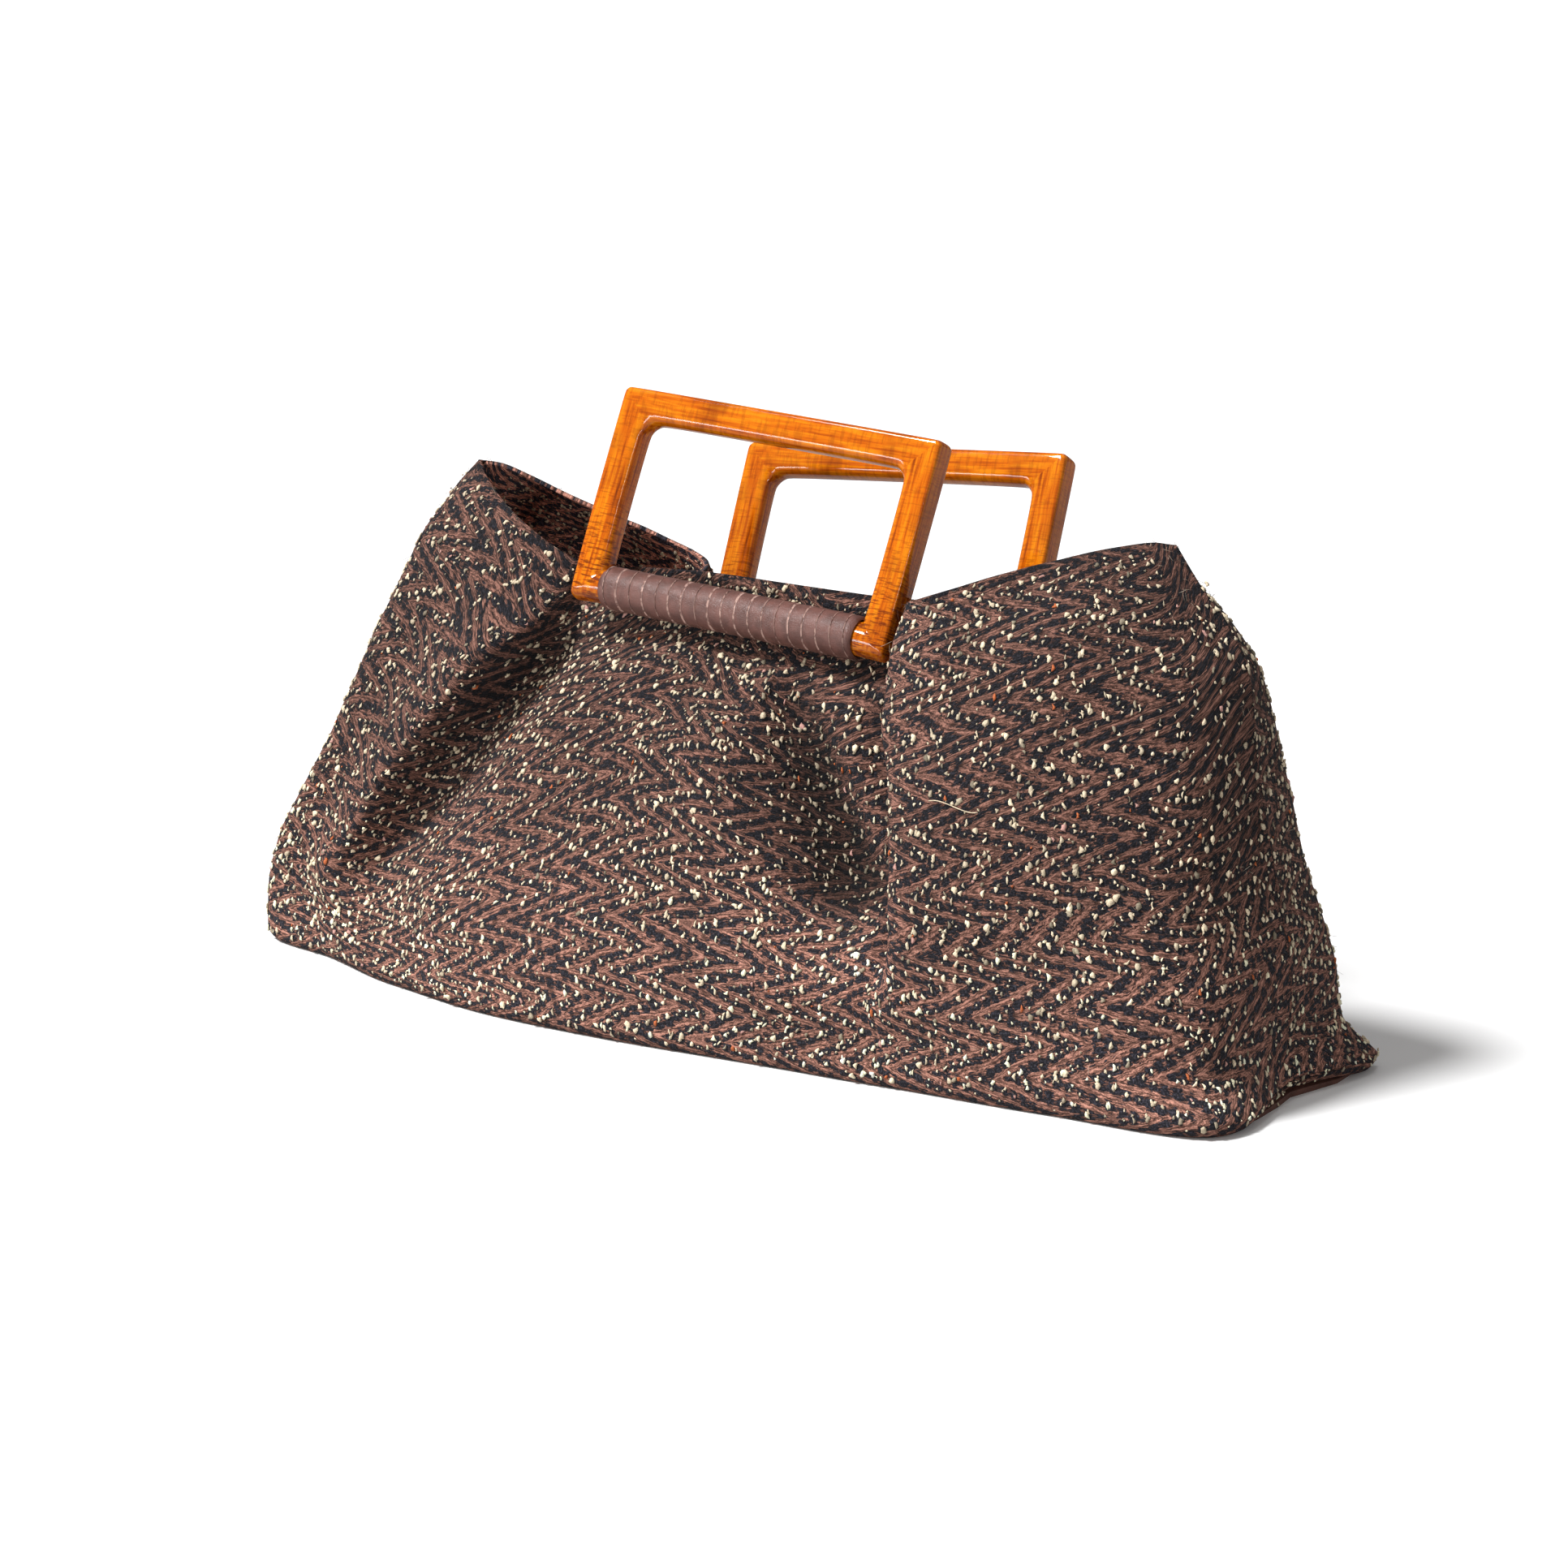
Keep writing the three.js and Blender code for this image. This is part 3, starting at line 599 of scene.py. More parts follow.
def grain_group():
    """Fine pebbled leather grain with creases, as a height and a tone mask."""
    tree, g, start, end = new_group(
        "leather_grain", [("Place", "NodeSocketVector"), ("Scale", "NodeSocketFloat")],
        [("Height", "NodeSocketFloat"), ("Tone", "NodeSocketFloat")])
    place, scale = start.outputs["Place"], start.outputs["Scale"]
    cell = g.made("ShaderNodeTexVoronoi", {"Vector": place, "Scale": scale}, "Distance",
                  feature="DISTANCE_TO_EDGE")
    soft = g.noise(place, g.mul(scale, 0.12))
    g.feed(end.inputs["Height"], g.math("MULTIPLY_ADD", soft, 0.8, g.range(cell, 0.0, 0.25)))
    g.feed(end.inputs["Tone"], g.range(soft, 0.3, 0.7, 0.75, 1.2))
    return tree


def leather_material(name, colour, roughness, with_tape):
    """Brown leather; on a wound tape each turn has painted shade where it starts under the turn before, and a
    broken pale line along its edge.
    """
    material, g, shader = new_material(name, roughness=roughness, specular_ior_level=0.45)
    place = g.place()
    node = g.node("ShaderNodeGroup", node_tree=bpy.data.node_groups.get("leather_grain") or grain_group())
    g.feed(node.inputs["Place"], place)
    node.inputs["Scale"].default_value = 1500.0
    tint = g.toned((*colour, 1.0), node.outputs["Tone"])
    if with_tape:
        uv = g.node("ShaderNodeUVMap", uv_map="tape")
        _, across, _ = g.split(uv.outputs[0])
        broken = g.range(g.noise(place, 420.0, 3.0, 0.6), 0.42, 0.6, 0.15, 1.0)
        rim = g.mul(g.range(across, 0.93, 0.985), broken)
        # Painted shade: each turn darker where it starts, tucked under the turn before
        tint = g.toned(tint, g.range(across, 0.0, 0.1, 0.55, 1.0))
        tint = g.blend(rim, tint, linear(196, 160, 148))
    g.feed(shader.inputs["Base Color"], tint)
    g.feed(shader.inputs["Normal"], g.bump(node.outputs["Height"], 0.00012, 0.5))
    return material


def wood_material(settings):
    """Lacquered orange-brown wood: lengthwise streaks, fine cross figure, dark ends of the posts."""
    material, g, shader = new_material("lacquered_wood", roughness=0.5, coat_weight=0.85,
                                       coat_roughness=0.08, coat_ior=1.5, specular_ior_level=0.0)
    dark, plain, light = ((*c, 1.0) for c in (settings.wood_dark, settings.wood, settings.wood_light))
    place = g.node("ShaderNodeAttribute", attribute_name="wood_place").outputs["Vector"]
    x, y, z = g.split(place)
    side = g.math("ABSOLUTE", x)
    down = g.sub(HANDLE_HEIGHT, z)
    inset = g.sub(HANDLE_WIDTH / 2, side)
    on_post = g.range(g.sub(down, inset), -0.4, 0.4)
    streak_post = g.noise(g.vector(x, y, g.mul(z, 0.06)), 0.55, 3.0, 0.6)
    streak_bar = g.noise(g.vector(g.mul(x, 0.06), y, z), 0.55, 3.0, 0.6)
    bars = g.noise(g.vector(g.mul(x, 0.14), g.mul(y, 0.14), z), 0.9, 3.0, 0.65)
    bars_top = g.noise(g.vector(x, g.mul(y, 0.2), g.mul(z, 0.2)), 0.5, 3.0, 0.6)
    streaks = g.choose(on_post, streak_bar, streak_post)
    cross = g.choose(on_post, bars_top, bars)
    base = g.ramp(streaks, [(0.22, dark), (0.42, plain), (0.62, light)])
    low = g.range(z, 10.0, 60.0, 1.0, 0.3)
    bars_mask = g.mul(g.range(cross, 0.48, 0.6), low)
    base = g.blend(g.mul(bars_mask, 0.9), base, dark)
    blotch = g.range(g.noise(place, 0.045, 2.0), 0.5, 0.72)
    corner = g.mul(blotch, g.range(z, 60.0, 90.0, 0.25, 0.6))
    base = g.blend(corner, base, dark)
    end_grain = g.mul(g.range(z, 9.0, 1.0), 0.35)
    base = g.blend(end_grain, base, linear(96, 32, 10))
    g.feed(shader.inputs["Base Color"], base)
    g.feed(shader.inputs["Normal"], g.bump(g.add(cross, streaks), 0.00008, 0.35))
    return material


def floor_material():
    """Pale matt floor that throws only part of its light back up on the bag."""
    material, g, shader = new_material("pale_floor", roughness=0.9, specular_ior_level=0.1)
    shade = g.range(g.noise(g.place(), 2.0, 2.0), 0.3, 0.7, 0.995, 1.0)
    seen = g.node("ShaderNodeLightPath").outputs["Is Camera Ray"]
    tone = g.mul(shade, g.range(seen, 0.0, 1.0, 0.4, 0.95))
    g.feed(shader.inputs["Base Color"], g.vector(tone, tone, tone))
    return material


def colour_property(name, description, red, green, blue):
    """A colour setting whose default is an sRGB colour from 0 to 255."""
    return bpy.props.FloatVectorProperty(name=name, description=description, subtype="COLOR", size=3,
                                         default=linear(red, green, blue)[:3])


class BagColours(bpy.types.PropertyGroup):
    """Colours of the cloth, leather and wood."""

    brown: colour_property("Brown yarn", "Flat bundles of the herringbone", 119, 84, 73)
    black: colour_property("Black yarn", "Looped yarn between the bundles", 36, 35, 41)
    cream: colour_property("Cream slubs", "Pale loops that stand on the cloth", 250, 231, 199)
    base: colour_property("Base leather", "Flat leather under the bag", 96, 62, 52)
    tape: colour_property("Winding leather", "Tape round the lower bars", 99, 65, 58)
    wood: colour_property("Wood", "Main colour of the lacquered wood", 188, 88, 6)
    wood_light: colour_property("Light wood", "Lightest streaks", 216, 124, 14)
    wood_dark: colour_property("Dark wood", "Figure, blotches and ends", 104, 40, 8)


class BagSizes(bpy.types.PropertyGroup):
    """Sizes of the looks that a user would change."""

    slub_share: bpy.props.FloatProperty(name="Slub share", description="Share of loop places that are filled",
                                        default=0.88, min=0.0, max=1.0, subtype="FACTOR")
    slub_length: bpy.props.FloatProperty(name="Slub length", description="Length of a usual pale loop",
                                         default=0.0036, min=0.001, max=0.01, unit="LENGTH")
    wrinkle: bpy.props.FloatProperty(name="Wrinkle depth", description="Depth of the cloth's soft unevenness",
                                     default=0.0012, min=0.0, max=0.005, unit="LENGTH")
    tape_turns: bpy.props.IntProperty(name="Tape turns", description="Turns of leather round each lower bar",
                                      default=19, min=5, max=40)
    finer: bpy.props.IntProperty(name="Cloth fineness", description="Grid steps for each step of the fold table",
                                 default=6, min=1, max=8)
    rows: bpy.props.IntProperty(name="Cloth rows", description="Rows of the cloth grid from base to rim",
                                default=104, min=16, max=140)


# Slubs: the two rare colours, the lowest middle in millimetres, the bare rows under the top edge,
# and how far a grid place may lie from its loop's middle, squared
RUST = linear(190, 104, 62)
ROSE = linear(196, 150, 140)
LOWEST_SLUB = 3.5
RIM_ROWS = 4
LOOP_REACH = 5.0

# How far round a handle the cloth has no wrinkles, in millimetres
STILL = 14

# Grids of the finished cloth sides by name, for what is laid on them
SHEETS = {}


def wrinkle(grid, panel, depth):
    """Moves a cloth side by soft noise, but not its seams, its base or what lies at the handle."""
    normal = grid_normals(grid)
    rows, columns = grid.shape[:2]
    for i in range(rows):
        rise = i / (rows - 1)
        for j in range(1, columns - 1):
            p = grid[i, j]
            local = panel.inverse @ Vector(p)
            if abs(local.x) < HANDLE_WIDTH / 2 + STILL and local.z > -STILL:
                continue
            calm = smooth(min(j, columns - 1 - j), 0, 10) * smooth(i, 4, 14)
            broad = noise.noise(Vector(p) * 0.018 + Vector((SEED, 0, 0)))
            wave = broad + 0.45 * noise.noise(Vector(p) * 0.06)
            grid[i, j] = p + normal[i, j] * depth * wave * calm * (0.6 + 0.6 * rise)


def painted_cloth_shade(grid, side):
    """Painted light and shade of the cloth: painted shade in the hollows, a painted highlight below the dip and
    painted light towards the base.
    """
    along, out, height = grid[:, :, 0], grid[:, :, 1] * side, grid[:, :, 2]
    hollow = relax(out.copy(), 240) - out
    # Painted shade: the deeper a hollow of the folds, the darker the cloth; the ridges below the dip get a painted
    # highlight
    depth = np.interp(along, (-200.0, -60.0, 20.0), (0.012, 0.04, 0.1))
    painted_highlight_cap = np.interp(along, (20.0, 70.0, 100.0, 120.0), (1.05, 1.35, 1.35, 1.05))
    shade = np.clip(0.98 - depth * hollow, 0.3, painted_highlight_cap)
    # Painted light: the cloth made lighter towards the base
    return shade * np.interp(height, (10.0, 55.0, 85.0, 110.0, 200.0), (1.75, 1.5, 1.1, 0.95, 0.95))


def inner_face(grid, normal, side):
    """Inner face of the wall, kept on its own side of the bag and along it at the end seams."""
    inner = grid - normal * CLOTH
    inner[:, 1:-1, 1] = side * np.maximum(side * inner[:, 1:-1, 1], FIT / 8)
    for end in (0, -1):
        slant = np.maximum(np.abs(normal[:, end, 0]), 0.45)
        inner[:, end] = grid[:, end]
        inner[:, end, 0] -= np.copysign(CLOTH / slant, grid[:, end, 0])
    return inner


def wall_faces(rows, columns):
    """Faces of a closed wall between two grids of points, the outer grid first."""
    def at(face, i, j):
        return (face * rows + i) * columns + j

    faces = []
    last, top = columns - 1, rows - 1
    for i in range(top):
        for j in range(last):
            faces.append((at(0, i, j), at(0, i, j + 1), at(0, i + 1, j + 1), at(0, i + 1, j)))
            faces.append((at(1, i, j), at(1, i + 1, j), at(1, i + 1, j + 1), at(1, i, j + 1)))
        faces.append((at(0, i, 0), at(0, i + 1, 0), at(1, i + 1, 0), at(1, i, 0)))
        faces.append((at(0, i + 1, last), at(0, i, last), at(1, i, last), at(1, i + 1, last)))
    for j in range(last):
        faces.append((at(0, 0, j + 1), at(0, 0, j), at(1, 0, j), at(1, 0, j + 1)))
        faces.append((at(0, top, j), at(0, top, j + 1), at(1, top, j + 1), at(1, top, j)))
    return faces


def panel_piece(panel, node, sizes, material):
    """One cloth side: the loft, its soft wrinkles, its wall and its cloth coordinates."""
    grid = np.array([[tuple(p) for p in row] for row in panel.outer()])
    wrinkle(grid, panel, sizes.wrinkle / MM)
    u, v = cloth_coordinates(grid)
    normal = grid_normals(grid)
    side = 1 if panel.turned else -1
    inner, shade = inner_face(grid, normal, side), painted_cloth_shade(grid, side)
    shift = np.array(tuple(MIDDLE))
    points = np.concatenate([grid.reshape(-1, 3), inner.reshape(-1, 3)]) + shift
    piece = new_piece(panel.name, points * MM, wall_faces(*grid.shape[:2]), material)
    layer = piece.data.uv_layers.new(name="cloth")
    flat = np.concatenate([np.stack([u, v], axis=2).reshape(-1, 2)] * 2)
    corner = np.zeros(len(piece.data.loops), np.int32)
    piece.data.loops.foreach_get("vertex_index", corner)
    layer.data.foreach_set("uv", flat[corner].astype(np.float32).ravel())
    # The shade attribute carries painted light and shade: the outer face's painted shade and light, and the inner
    # face's painted light
    layer = piece.data.attributes.new("shade", "FLOAT", "POINT")
    both = np.concatenate([shade.ravel(), np.full(shade.size, INNER_PAINTED_LIGHT)])
    layer.data.foreach_set("value", both.astype(np.float32))
    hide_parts(node)
    # The sheet keeps the painted shade for the slubs laid on it
    SHEETS[panel.name] = {"grid": grid + shift, "inner": inner + shift, "normal": normal, "u": u, "v": v,
                          "shade": shade}
    return piece


def warp_float(u, v):
    """The visible stretch of black looped yarn here, and how far off its middle, across and up."""
    i = math.floor(u / WARP)
    up = v / WEFT
    zigzag = ROWS_A_STRIPE - abs(up % (2 * ROWS_A_STRIPE) - ROWS_A_STRIPE)
    rising = 1 if up % (2 * ROWS_A_STRIPE) < ROWS_A_STRIPE else -1
    phase = (i + 0.5 + zigzag) % BAND
    key = (i, math.floor(up / ROWS_A_STRIPE), math.floor((i + 0.5 + zigzag) / BAND))
    return key, phase < BAND / 2, (u / WARP - i - 0.5) * WARP, (phase - BAND / 4) * WEFT * rising


def slub_shape(sides, rings):
    """Points and faces of one small rounded lump along Z with a length and radius of one."""
    points, faces = [(0.0, 0.0, -0.5)], []
    for r in range(1, rings + 1):
        z = -0.5 + r / (rings + 1)
        radius = math.sqrt(max(1 - (2 * z) ** 2, 0.0))
        for s in range(sides):
            a = 2 * math.pi * s / sides
            points.append((radius * math.cos(a), radius * math.sin(a), z))
    points.append((0.0, 0.0, 0.5))
    top = len(points) - 1
    for s in range(sides):
        n = (s + 1) % sides
        faces.append((0, 1 + n, 1 + s))
        for r in range(rings - 1):
            a = 1 + r * sides
            faces.append((a + s, a + n, a + sides + n, a + sides + s))
        a = 1 + (rings - 1) * sides
        faces.append((a + s, a + n, top))
    return np.array(points), faces


def loop_places(grid, normal, u, v, lowest):
    """Grid place and offset of each black loop in view, but none where the cloth is tight or steep."""
    rows, columns = grid.shape[:2]
    nearest = {}
    for i in range(lowest, rows - RIM_ROWS):
        for j in range(1, columns - 1):
            key, over, du, dv = warp_float(u[i, j], v[i, j])
            gap = du * du + dv * dv
            if over and gap < nearest.get(key, (LOOP_REACH,))[0]:
                nearest[key] = (gap, i, j, du, dv)
    for key in sorted(nearest):
        _, i, j, du, dv = nearest[key]
        reach = np.linalg.norm(grid[i, j + 1] - grid[i, j - 1])
        squeezed = reach < 0.6 * abs(u[i, j + 1] - u[i, j - 1])
        steep = abs(normal[i, j, 0]) > 0.75 and abs(grid[i, j, 0]) < HALF_LENGTH * 0.6
        if not (squeezed or steep):
            yield i, j, du, dv


def slub_tone(draw, cream, shade):
    """Colour of one slub: mostly cream in random light and dark tones times the painted shade of the cloth under
    it, now and then rust or rose.
    """
    tone = draw.random()
    factor = draw.uniform(0.5, 1.0) if tone < 0.78 else draw.uniform(0.2, 0.45)
    if tone > 0.985:
        return RUST
    if tone > 0.96:
        return ROSE
    # The cream is multiplied by the painted light and shade of the cloth under the slub
    return (*(min(c * factor * shade ** 0.6, 1.0) for c in cream), 1.0)


def slub_piece(name, sheet, sizes, cream, material, seed, inside):
    """Pale loops of the black yarn, standing a little proud of one face of a cloth side."""
    draw = random.Random(seed)
    u, v = sheet["u"], sheet["v"]
    grid = sheet["inner"] if inside else sheet["grid"]
    normal = -sheet["normal"] if inside else sheet["normal"]
    lowest = len(grid) * 6 // 10 if inside else 2
    large, small = slub_shape(5, 3), slub_shape(4, 2)
    points, faces, tones = [], [], []
    for i, j, du, dv in loop_places(grid, normal, u, v, lowest):
        patch = noise.noise(Vector((u[i, j] * 0.03, v[i, j] * 0.03, seed)))
        if draw.random() >= sizes.slub_share * (1.0 + 0.5 * patch):
            continue
        n = normal[i, j]
        up = grid[i + 1, j] - grid[i - 1, j]
        up -= n * np.dot(up, n)
        up /= np.linalg.norm(up) + 1e-9
        side = np.cross(up, n)
        for lump in range(draw.choice((1, 2, 2))):
            slant = draw.gauss(0.12, 0.35)
            along = up * math.cos(slant) + side * math.sin(slant)
            cross = np.cross(along, n)
            big = draw.random() ** 1.5
            length = sizes.slub_length / MM * (0.3 + 0.75 * big)
            wide = min(0.32 + 0.8 * draw.random() * (0.3 + big), length * 0.44)
            high = 0.3 + 0.3 * big
            bend = draw.uniform(-0.9, 0.9)
            jitter = side * (draw.gauss(0, 1.0) - du) + up * (draw.gauss(0, 0.8) - dv + lump * 1.5)
            centre = grid[i, j] + n * (0.14 + 0.24 * high) + jitter
            if centre[2] < LOWEST_SLUB:
                continue
            shape, shape_faces = large if big > 0.3 else small
            start = len(points)
            for x, y, z in shape:
                rough = 1 + 0.5 * draw.uniform(-1, 1)
                place = centre + cross * ((x * wide + bend * (z * z * 4 - 0.5)) * rough)
                place = place + n * (y * high * rough) + along * (z * length)
                points.append(tuple(place * MM))
            faces += [tuple(start + k for k in face) for face in shape_faces]
            # Painted light: inner slubs take a fixed lighter tone, outer ones the painted shade of the cloth
            tones += [slub_tone(draw, cream, 1.3 if inside else sheet["shade"][i, j])] * len(shape)
    piece = new_piece(name, points, faces, material)
    layer = piece.data.color_attributes.new("tone", "FLOAT_COLOR", "POINT")
    layer.data.foreach_set("color", np.array(tones, np.float32).ravel())
    return piece


# Corners of a thread's section, in radians
THREE_SIDES = (0.0, 2.0944, 4.1888)


def fibre(points, faces, path, radius):
    """Adds one thin three-sided thread along a path."""
    start = len(points)
    for k, p in enumerate(path):
        ahead = path[min(k + 1, len(path) - 1)] - path[max(k - 1, 0)]
        side = np.cross(ahead, (0.31, 0.17, 0.93))
        side /= np.linalg.norm(side) + 1e-9
        other = np.cross(ahead, side)
        other /= np.linalg.norm(other) + 1e-9
        thin = radius * (0.35 if k in (0, len(path) - 1) else 1.0)
        for a in THREE_SIDES:
            points.append(tuple((p + side * math.cos(a) * thin + other * math.sin(a) * thin) * MM))
    for k in range(len(path) - 1):
        for a in range(3):
            b = (a + 1) % 3
            low = start + 3 * k
            faces.append((low + a, low + b, low + 3 + b, low + 3 + a))
    faces.append((start + 2, start + 1, start))
    end = start + 3 * (len(path) - 1)
    faces.append((end, end + 1, end + 2))


def fuzz_piece(name, sheet, count, material, seed):
    """Fine stray fibres over one cloth side, thicker along its top edge and end seams."""
    draw = random.Random(seed)
    grid, normal = sheet["grid"], sheet["normal"]
    rows, columns = grid.shape[:2]
    points, faces = [], []
    for k in range(count):
        at_rim = k % 9 == 0
        i = rows - 1 - int(abs(draw.gauss(0, 1.0))) if at_rim else draw.randrange(6, rows - 1)
        j = draw.randrange(2, columns - 2)
        if not at_rim and k % 5 == 1:
            j = draw.choice((draw.randrange(1, 12), columns - 1 - draw.randrange(1, 12)))
        n = normal[i, j]
        up = grid[i, j] - grid[i - 1, j]
        up /= np.linalg.norm(up) + 1e-9
        side = np.cross(up, n)
        turn = draw.uniform(0, 2 * math.pi)
        way = side * math.cos(turn) + up * math.sin(turn) + n * draw.uniform(0.1, 0.8)
        curl = np.array([draw.uniform(-0.5, 0.5) for _ in range(3)])
        length = draw.uniform(1.0, 2.4) if at_rim else draw.uniform(1.5, 4.2)
        path = [grid[i, j] + way * (length * t) + curl * (length * t * t) for t in (0.0, 0.35, 0.7, 1.0)]
        fibre(points, faces, path, draw.uniform(0.035, 0.075))
    return new_piece(name, points, faces, material)


def long_thread(name, sheet, material, row, column):
    """One long loose cream thread that lies in a shallow wave on the cloth."""
    grid, normal = sheet["grid"], sheet["normal"]
    rows, columns = grid.shape[:2]
    path = []
    for k in range(22):
        t = k / 21
        i, j = rows * row - 2.8 * smooth(t, 0.1, 0.95), columns * column + 7 * t
        low, left = int(i), int(j)
        spot = [[grid[low + m, left + n] + normal[low + m, left + n] * (0.8 + 0.5 * math.sin(t * 7))
                 for n in (0, 1)] for m in (0, 1)]
        path.append(mix(mix(spot[0][0], spot[0][1], j - left), mix(spot[1][0], spot[1][1], j - left), i - low))
    points, faces = [], []
    fibre(points, faces, path, 0.26)
    return new_piece(name, points, faces, material)


# One turn of the tape: (share of the pitch, rise as a share of WRAP_STEP)
TAPE_PROFILE = ((0.0, -0.32), (0.06, 0.0), (0.3, 0.16), (0.62, 0.34), (0.9, 0.47), (0.97, 0.42), (0.999, -0.1))


def tape_piece(name, node, seat, sizes, material):
    """Leather tape wound along a lower bar, every turn stepping over the last."""
    turns = sizes.tape_turns
    around = 56
    length = HANDLE_WIDTH - 2 * BARE_WOOD - 2 * FIT
    pitch = length / turns
    draw = random.Random(SEED)
    matrix = Matrix.Translation(MIDDLE) @ seat_matrix(seat)
    drift = [draw.uniform(-0.06, 0.06) for _ in range(turns + 3)]
    swell = [draw.uniform(-0.12, 0.12) for _ in range(turns + 3)]
    points, uvs = [], []
    for turn in range(-1, turns + 1):
        for share, rise in TAPE_PROFILE:
            for k in range(around):
                turned = k / around
                wave = 0.09 * math.sin(2 * math.pi * turned + turn * 1.7)
                where = turn + share + turned + drift[turn + 1] * (0.3 + share) + wave * share * 0.4
                x = -length / 2 + pitch * where
                beyond = x < -length / 2 or x > length / 2
                x = min(max(x, -length / 2), length / 2)
                radius = BAR_RADIUS + FIT + WRAP_WALL + (rise + swell[turn + 1]) * WRAP_STEP
                radius -= 1.1 * smooth(abs(x), length / 2 - 0.9, length / 2)
                if beyond:
                    radius = BAR_RADIUS + FIT + 0.3
                angle = 2 * math.pi * turned
                local = Vector((x, HANDLE_THICK / 2 + radius * math.cos(angle), BAR_UP + radius * math.sin(angle)))
                points.append(tuple((matrix @ local) * MM))
                uvs.append(((turn + turned) * 60.0, share))

    def ahead(k):
        return uvs[k][0], uvs[k + around][1] or 1.0

    faces, face_uvs = [], []
    for r in range(len(points) // around - 1):
        for k in range(around - 1):
            a, b = r * around + k, r * around + k + 1
            faces.append((a, a + around, b + around, b))
            face_uvs += [uvs[a], ahead(a), ahead(b), uvs[b]]
        a, b = r * around + around - 1, (r + len(TAPE_PROFILE)) * around
        if b + around < len(points):
            faces.append((a, a + around, b + around, b))
            face_uvs += [uvs[a], ahead(a), ahead(a), uvs[a]]
    piece = new_piece(name, points, faces, material)
    layer = piece.data.uv_layers.new(name="tape")
    layer.data.foreach_set("uv", [c for uv in face_uvs for c in uv])
    only(piece)
    bpy.ops.object.mode_set(mode="EDIT")
    bpy.ops.mesh.select_all(action="SELECT")
    bpy.ops.mesh.remove_doubles(threshold=0.00001)
    bpy.ops.mesh.normals_make_consistent(inside=False)
    bpy.ops.object.mode_set(mode="OBJECT")
    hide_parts(node)
    return piece


def copy_of_node(node, name, material):
    """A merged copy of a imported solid, ready to be finished as a piece of its own."""
    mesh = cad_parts[node].data.copy()
    mesh.name = name
    mesh.materials.clear()
    piece = dressed(name, mesh, material)
    only(piece)
    bpy.ops.object.mode_set(mode="EDIT")
    bpy.ops.mesh.select_all(action="SELECT")
    bpy.ops.mesh.remove_doubles(threshold=0.00002)
    if mesh.has_custom_normals:
        bpy.ops.mesh.customdata_custom_splitnormals_clear()
    bpy.ops.mesh.tris_convert_to_quads(face_threshold=math.radians(60), shape_threshold=math.radians(60))
    bpy.ops.object.mode_set(mode="OBJECT")
    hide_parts(node)
    return piece


class BAG_OT_cloth(bpy.types.Operator):
    """Build the front and back cloth sides with their folds and herringbone"""

    bl_idname = "bag.cloth"
    bl_label = "Cloth Sides"

    def execute(self, context):
        colours, sizes = context.scene.bag_colours, context.scene.bag_sizes
        material = tweed_material(colours, weave_group())
        for name, seat in SEATS.items():
            panel = Panel(f"{name}_cloth", seat, name == "back", sizes.finer, sizes.rows)
            piece = panel_piece(panel, f"{name}_panel", sizes, material)
        return {"FINISHED"}


class BAG_OT_slubs(bpy.types.Operator):
    """Scatter the pale loops of the tweed over both cloth sides"""

    bl_idname = "bag.slubs"
    bl_label = "Slubs"

    def execute(self, context):
        colours, sizes = context.scene.bag_colours, context.scene.bag_sizes
        material = slub_material()
        for k, name in enumerate(SEATS):
            sheet = SHEETS[f"{name}_cloth"]
            slub_piece(f"{name}_slubs", sheet, sizes, colours.cream, material, SEED + k, False)
            slub_piece(f"{name}_inner_slubs", sheet, sizes, colours.cream, material, SEED + 5 + k, True)
        return {"FINISHED"}


class BAG_OT_threads(bpy.types.Operator):
    """Lay the stray fibres and the one long loose thread on the cloth"""

    bl_idname = "bag.threads"
    bl_label = "Loose Threads"

    def execute(self, context):
        dark = fibre_material()
        for k, name in enumerate(SEATS):
            fuzz_piece(f"{name}_fuzz", SHEETS[f"{name}_cloth"], 1500, dark, SEED + 20 + k)
        cream = yarn_material("thread_cream", context.scene.bag_colours.cream)
        long_thread("loose_thread", SHEETS["front_cloth"], cream, 0.557, 0.776)
        return {"FINISHED"}


class BAG_OT_base(bpy.types.Operator):
    """Finish the flat leather base with rounded edges"""

    bl_idname = "bag.base"
    bl_label = "Leather Base"

    def execute(self, context):
        material = leather_material("base_leather", context.scene.bag_colours.base, 0.5, False)
        piece = copy_of_node("base_panel", "leather_base", material)
        only(piece)
        bevel = piece.modifiers.new("edge", "BEVEL")
        bevel.width = 0.0005
        bevel.segments = 3
        bevel.limit_method = "ANGLE"
        bevel.angle_limit = math.radians(40)
        bpy.ops.object.modifier_apply(modifier=bevel.name)
        bpy.ops.object.shade_smooth_by_angle(angle=math.radians(35))
        return {"FINISHED"}


class BAG_OT_windings(bpy.types.Operator):
    """Wind the leather tape round both lower bars"""

    bl_idname = "bag.windings"
    bl_label = "Leather Windings"

    def execute(self, context):
        material = leather_material("winding_leather", context.scene.bag_colours.tape, 0.42, True)
        for name, seat in SEATS.items():
            tape_piece(f"{name}_tape", f"{name}_wrap", seat, context.scene.bag_sizes, material)
        return {"FINISHED"}


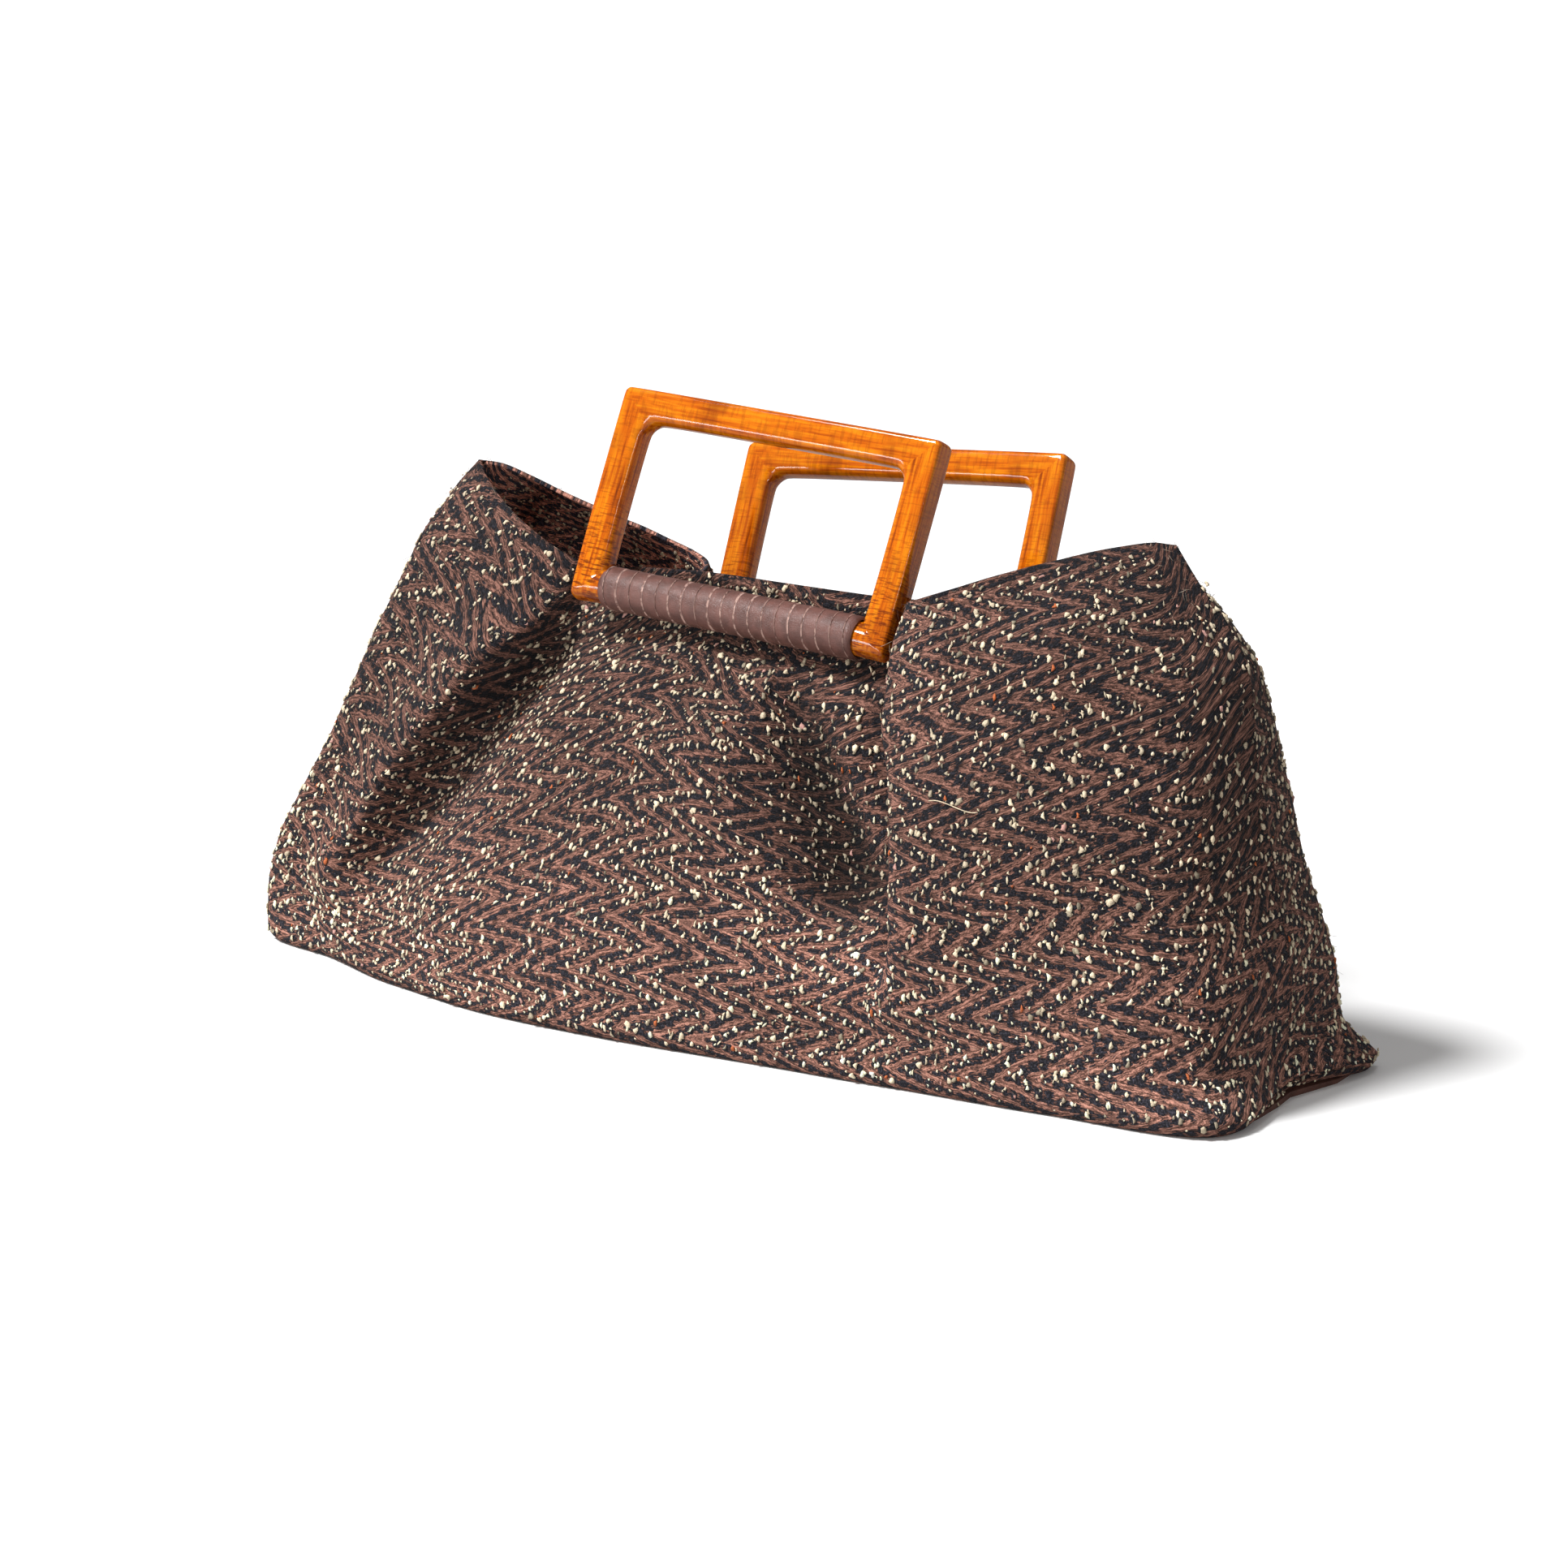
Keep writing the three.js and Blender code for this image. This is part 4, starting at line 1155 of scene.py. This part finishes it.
class BAG_OT_handles(bpy.types.Operator):
    """Round and lacquer both wooden handles"""

    bl_idname = "bag.handles"
    bl_label = "Wooden Handles"

    def execute(self, context):
        material = wood_material(context.scene.bag_colours)
        for name, seat in SEATS.items():
            piece = copy_of_node(f"{name}_handle", f"{name}_wooden_handle", material)
            only(piece)
            modifier = piece.modifiers.new("round", "SUBSURF")
            modifier.levels = modifier.render_levels = 2
            bpy.ops.object.modifier_apply(modifier=modifier.name)
            piece.data.polygons.foreach_set("use_smooth", [True] * len(piece.data.polygons))
            inverse = (Matrix.Translation(MIDDLE) @ seat_matrix(seat)).inverted()
            local = piece.data.attributes.new("wood_place", "FLOAT_VECTOR", "POINT")
            values = [c for vertex in piece.data.vertices for c in inverse @ (vertex.co / MM)]
            local.data.foreach_set("vector", values)
        return {"FINISHED"}


# Lamps: name, place and size in metres, power in watts, colour; all point at AIM
AIM = Vector((0.0, 0.0, 0.12))
LAMPS = (
    ("front", (-0.55, -1.85, 0.16), (1.6, 0.16), 13.0, (1.0, 0.98, 0.96)),
    ("key", (1.4, -1.0, 0.4), (0.1, 0.8), 4.5, (1.0, 0.96, 0.94)),
    ("strip", (-0.91, -1.31, 0.3), (0.6, 0.07), 2.5, (1.0, 0.97, 0.95)),
    ("top", (0.1, 0.5, 1.8), (0.25, 0.25), 3.0, (1.0, 1.0, 1.0)),
)
SUN_FROM = Vector((-0.34, -0.48, 0.80))

# Camera fitted to the photo: lens and sensor in millimetres, angles in degrees, place in metres
LENS, SENSOR = 101.5, 36.0
AZIMUTH, ELEVATION, CAMERA_ROLL = 35.13, 12.29, -1.0
CAMERA_TARGET = Vector((-9.1, 2.7, 94.1)) * MM
CAMERA_AWAY = 1.902


def put(name, data, turn, place=(0.0, 0.0, 0.0)):
    """Places a light or camera in the scene."""
    thing = bpy.data.objects.new(name, data)
    thing.location = place
    thing.rotation_mode = "QUATERNION"
    thing.rotation_quaternion = turn
    bpy.context.scene.collection.objects.link(thing)
    return thing


class BAG_OT_stage(bpy.types.Operator):
    """Set up the pale floor, the soft studio light and the camera"""

    bl_idname = "bag.stage"
    bl_label = "Stage"

    def light(self, scene):
        """Pale room, soft sun and four lamps."""
        scene.world = bpy.data.worlds.new("soft_room")
        scene.world.use_nodes = True
        sky = scene.world.node_tree.nodes["Background"]
        sky.inputs["Color"].default_value = (1.0, 0.99, 0.985, 1.0)
        sky.inputs["Strength"].default_value = 0.22
        sun = bpy.data.lights.new("daylight", "SUN")
        sun.energy = 4.3
        sun.angle = math.radians(16)
        put("daylight", sun, SUN_FROM.to_track_quat("Z", "Y"))
        for name, place, (wide, tall), power, colour in LAMPS:
            lamp = bpy.data.lights.new(name, "AREA")
            lamp.shape = "RECTANGLE"
            lamp.size, lamp.size_y = wide, tall
            lamp.energy = power
            lamp.color = colour
            put(name, lamp, (AIM - Vector(place)).to_track_quat("-Z", "Y"), place)

    def camera(self, scene):
        """Camera in the photo's place."""
        azimuth, elevation, roll = map(math.radians, (AZIMUTH, ELEVATION, CAMERA_ROLL))
        back = Vector((math.sin(azimuth) * math.cos(elevation), -math.cos(azimuth) * math.cos(elevation),
                       math.sin(elevation)))
        right = Vector((math.cos(azimuth), math.sin(azimuth), 0.0))
        up = back.cross(right)
        turned_right = right * math.cos(roll) - up * math.sin(roll)
        turned_up = right * math.sin(roll) + up * math.cos(roll)
        data = bpy.data.cameras.new("camera")
        data.lens = LENS
        data.sensor_width = SENSOR
        turn = Matrix((turned_right, turned_up, back)).transposed().to_quaternion()
        scene.camera = put("camera", data, turn, CAMERA_TARGET + back * CAMERA_AWAY)

    def execute(self, context):
        bpy.ops.object.select_all(action="DESELECT")
        bpy.ops.mesh.primitive_plane_add(size=60.0, location=(0.0, 0.0, 0.0))
        floor = context.object
        floor.name = "floor"
        floor.data.materials.append(floor_material())
        self.light(context.scene)
        self.camera(context.scene)
        context.scene.view_settings.view_transform = "Standard"
        return {"FINISHED"}


class BAG_PT_panel(bpy.types.Panel):
    """Lists the bag's sizes, colours and steps"""

    bl_idname = "BAG_PT_panel"
    bl_label = "Handle Bag"
    bl_space_type = "VIEW_3D"
    bl_region_type = "UI"
    bl_category = "Handle Bag"

    def draw(self, context):
        for group in (context.scene.bag_sizes, context.scene.bag_colours):
            column = self.layout.column(align=True)
            for name in group.__annotations__:
                column.prop(group, name)
        for operator in OPERATORS:
            self.layout.operator(operator.bl_idname)


OPERATORS = (BAG_OT_cloth, BAG_OT_slubs, BAG_OT_threads, BAG_OT_base, BAG_OT_windings, BAG_OT_handles,
             BAG_OT_stage)
CLASSES = (BagColours, BagSizes, *OPERATORS, BAG_PT_panel)


def register():
    """Registers the classes and their settings on the scene."""
    for cls in CLASSES:
        bpy.utils.register_class(cls)
    bpy.types.Scene.bag_colours = bpy.props.PointerProperty(type=BagColours)
    bpy.types.Scene.bag_sizes = bpy.props.PointerProperty(type=BagSizes)


def unregister():
    """Removes the settings and the classes."""
    del bpy.types.Scene.bag_colours
    del bpy.types.Scene.bag_sizes
    for cls in reversed(CLASSES):
        bpy.utils.unregister_class(cls)


def main():
    """Builds every piece in order."""
    register()
    bpy.ops.bag.cloth()
    bpy.ops.bag.slubs()
    bpy.ops.bag.threads()
    bpy.ops.bag.base()
    bpy.ops.bag.windings()
    bpy.ops.bag.handles()
    bpy.ops.bag.stage()


if __name__ == "__main__":
    main()
